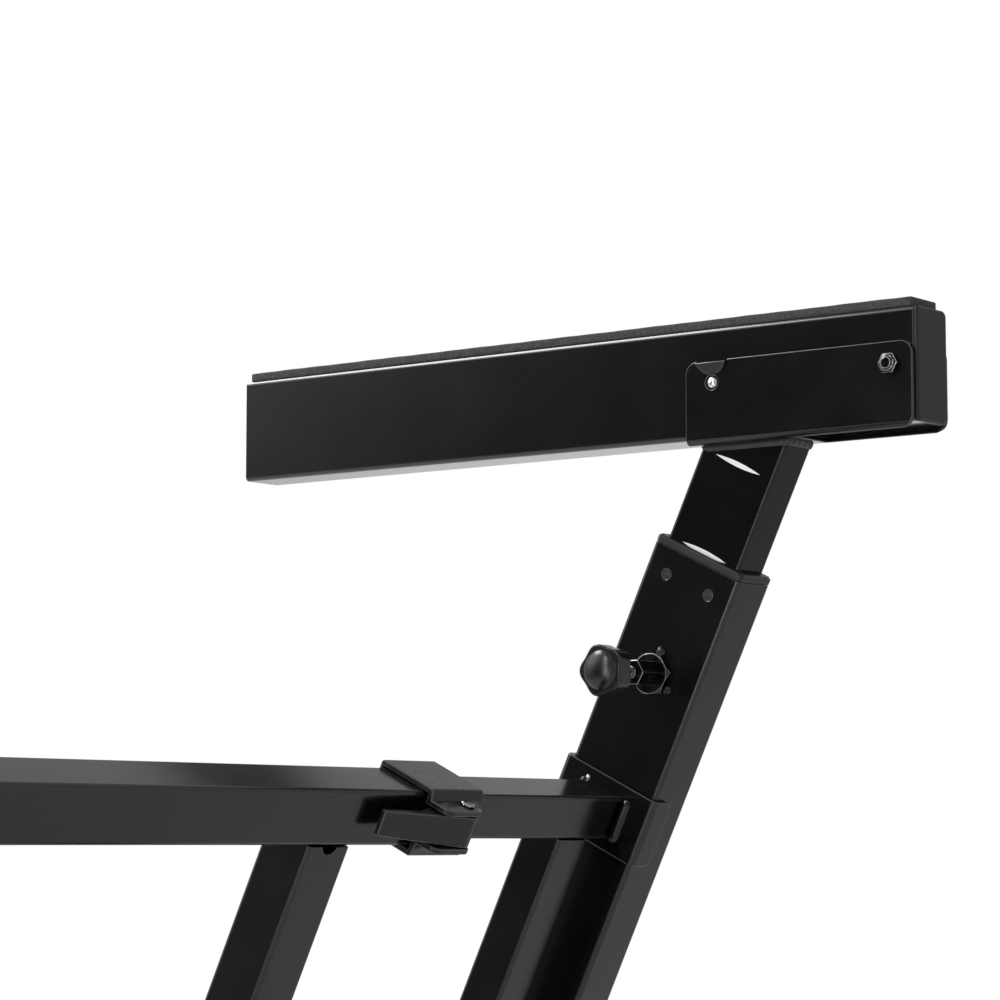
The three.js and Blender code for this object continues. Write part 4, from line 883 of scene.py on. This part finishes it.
for name, hand in HANDS.items():
    for number, way in enumerate((-1, 1), 1):
        shape = bmesh.new()
        turned(shape, PEG_PROFILE, PEG_STEPS)
        put_on_side(shape, hand, leaning((PEG_FACE, way * PEG_SPACING / 2, PEG_RISE)) @ ALONG_X)
        peg = settle(shape, f"{name}_peg_head_{number}", f"{name}_side", knob_plastic)
print("peg heads", 2 * PEG_PROFILE[-1][0], "mm wide")

# %% Make the saddles' bright pins
PIN_PROFILE = ((0, 0.8), (0.6, 0.7), (1.05, 0.4), (1.25, 0.1), (1.5, 0.1), (1.6, -0.3))
PIN_STEPS = 24
SADDLE_FACE = 18.0 * MM
PIN_ACROSS = -13.9 * MM
PIN_RISE = 434.2 * MM

for name, hand in HANDS.items():
    shape = bmesh.new()
    turned(shape, PIN_PROFILE, PIN_STEPS)
    put_on_side(shape, hand, leaning((SADDLE_FACE, PIN_ACROSS, PIN_RISE)) @ ALONG_X)
    pin = settle(shape, f"{name}_upper_saddle_pin", f"{name}_side", bright_zinc)
print("saddle pins", 2 * PIN_PROFILE[-1][0], "mm wide")

# %% [markdown]
# ## The welds under the brackets
# A weld joins each inner post to the floor of its bracket. A ring of small balls would look like beads on
# a string, and the real bead is a low band with ripples. So a cube with rounded corners has its rim
# divided and pushed in and out, and is then sheared to follow the post. Its front end is thinner, so that
# the collar clears it when the post is all the way down.

# %% Draw a weld band
WELD_WIDTH, WELD_DEPTH, WELD_HEIGHT = 25 * MM, 56.6 * MM, 3.2 * MM
WELD_CORNER, WELD_CORNER_STEPS = 2.2 * MM, 4
WELD_CUTS_ALONG, WELD_CUTS_UP, LONG_EDGE = 36, 3, 5 * MM
WELD_RIPPLE, WELD_BULGE = 0.28 * MM, 1.2
WELD_RIPPLES = ((0.25, 2600), (0.4, 1130))
WELD_FRONT = 0.3 * MM


def push_weld(vert):
    along = vert.co.x + vert.co.y
    bulge = 1 - (2 * vert.co.z / WELD_HEIGHT) ** 2
    ripple = sum(share * math.sin(along * pitch) for share, pitch in WELD_RIPPLES)
    out = Vector((vert.co.x, vert.co.y, 0)).normalized()
    room = WELD_FRONT + math.tan(LEAN) * (vert.co.y + WELD_DEPTH / 2)
    vert.co += out * (WELD_RIPPLE * (WELD_BULGE * bulge + ripple))
    vert.co.z = max(vert.co.z, WELD_HEIGHT / 2 - room)


def weld_band():
    shape = bmesh.new()
    block = Matrix.Diagonal((WELD_WIDTH, WELD_DEPTH, WELD_HEIGHT, 1))
    bmesh.ops.create_cube(shape, size=1, matrix=block)
    upright = [e for e in shape.edges if height_between_ends(e) > WELD_HEIGHT / 2]
    bmesh.ops.bevel(shape, geom=upright, offset=WELD_CORNER, offset_type="OFFSET",
                    segments=WELD_CORNER_STEPS, profile=0.5, affect="EDGES", clamp_overlap=True,
                    material=-1)
    rim = [e for e in shape.edges
           if height_between_ends(e) < LEVEL_WITHIN and e.calc_length() > LONG_EDGE]
    bmesh.ops.subdivide_edges(shape, edges=rim, cuts=WELD_CUTS_ALONG)
    upright = [e for e in shape.edges if height_between_ends(e) > WELD_HEIGHT / 2]
    bmesh.ops.subdivide_edges(shape, edges=upright, cuts=WELD_CUTS_UP)
    for vert in shape.verts:
        push_weld(vert)
    return shape


print("weld bands", WELD_HEIGHT / MM, "mm high")

# %% Lay the welds
POST_TOP_Y = 126.53 * MM
BRACKET_FLOOR = 642.17 * MM
POST_TOP_BELOW = 3.3 * MM
WELD_SMOOTH_UP_TO = 60

lean = Matrix.Identity(4)
lean[1][2] = math.tan(LEAN)
weld_y = POST_TOP_Y - math.tan(LEAN) * (WELD_HEIGHT / 2 + POST_TOP_BELOW)
for name, hand in HANDS.items():
    shape = weld_band()
    put_on_side(shape, hand, Matrix.Translation((0, weld_y, BRACKET_FLOOR - WELD_HEIGHT / 2)) @ lean)
    weld = settle(shape, f"{name}_post_weld", f"{name}_post", weld_paint, WELD_SMOOTH_UP_TO)
print("welds under", round(BRACKET_FLOOR / MM, 1), "mm")

# %% [markdown]
# ## The sizes
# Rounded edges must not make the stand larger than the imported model.

# %% Write the sizes down and finish
low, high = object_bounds()
print("visual size", [round(b - a, 4) for a, b in zip(low, high)])
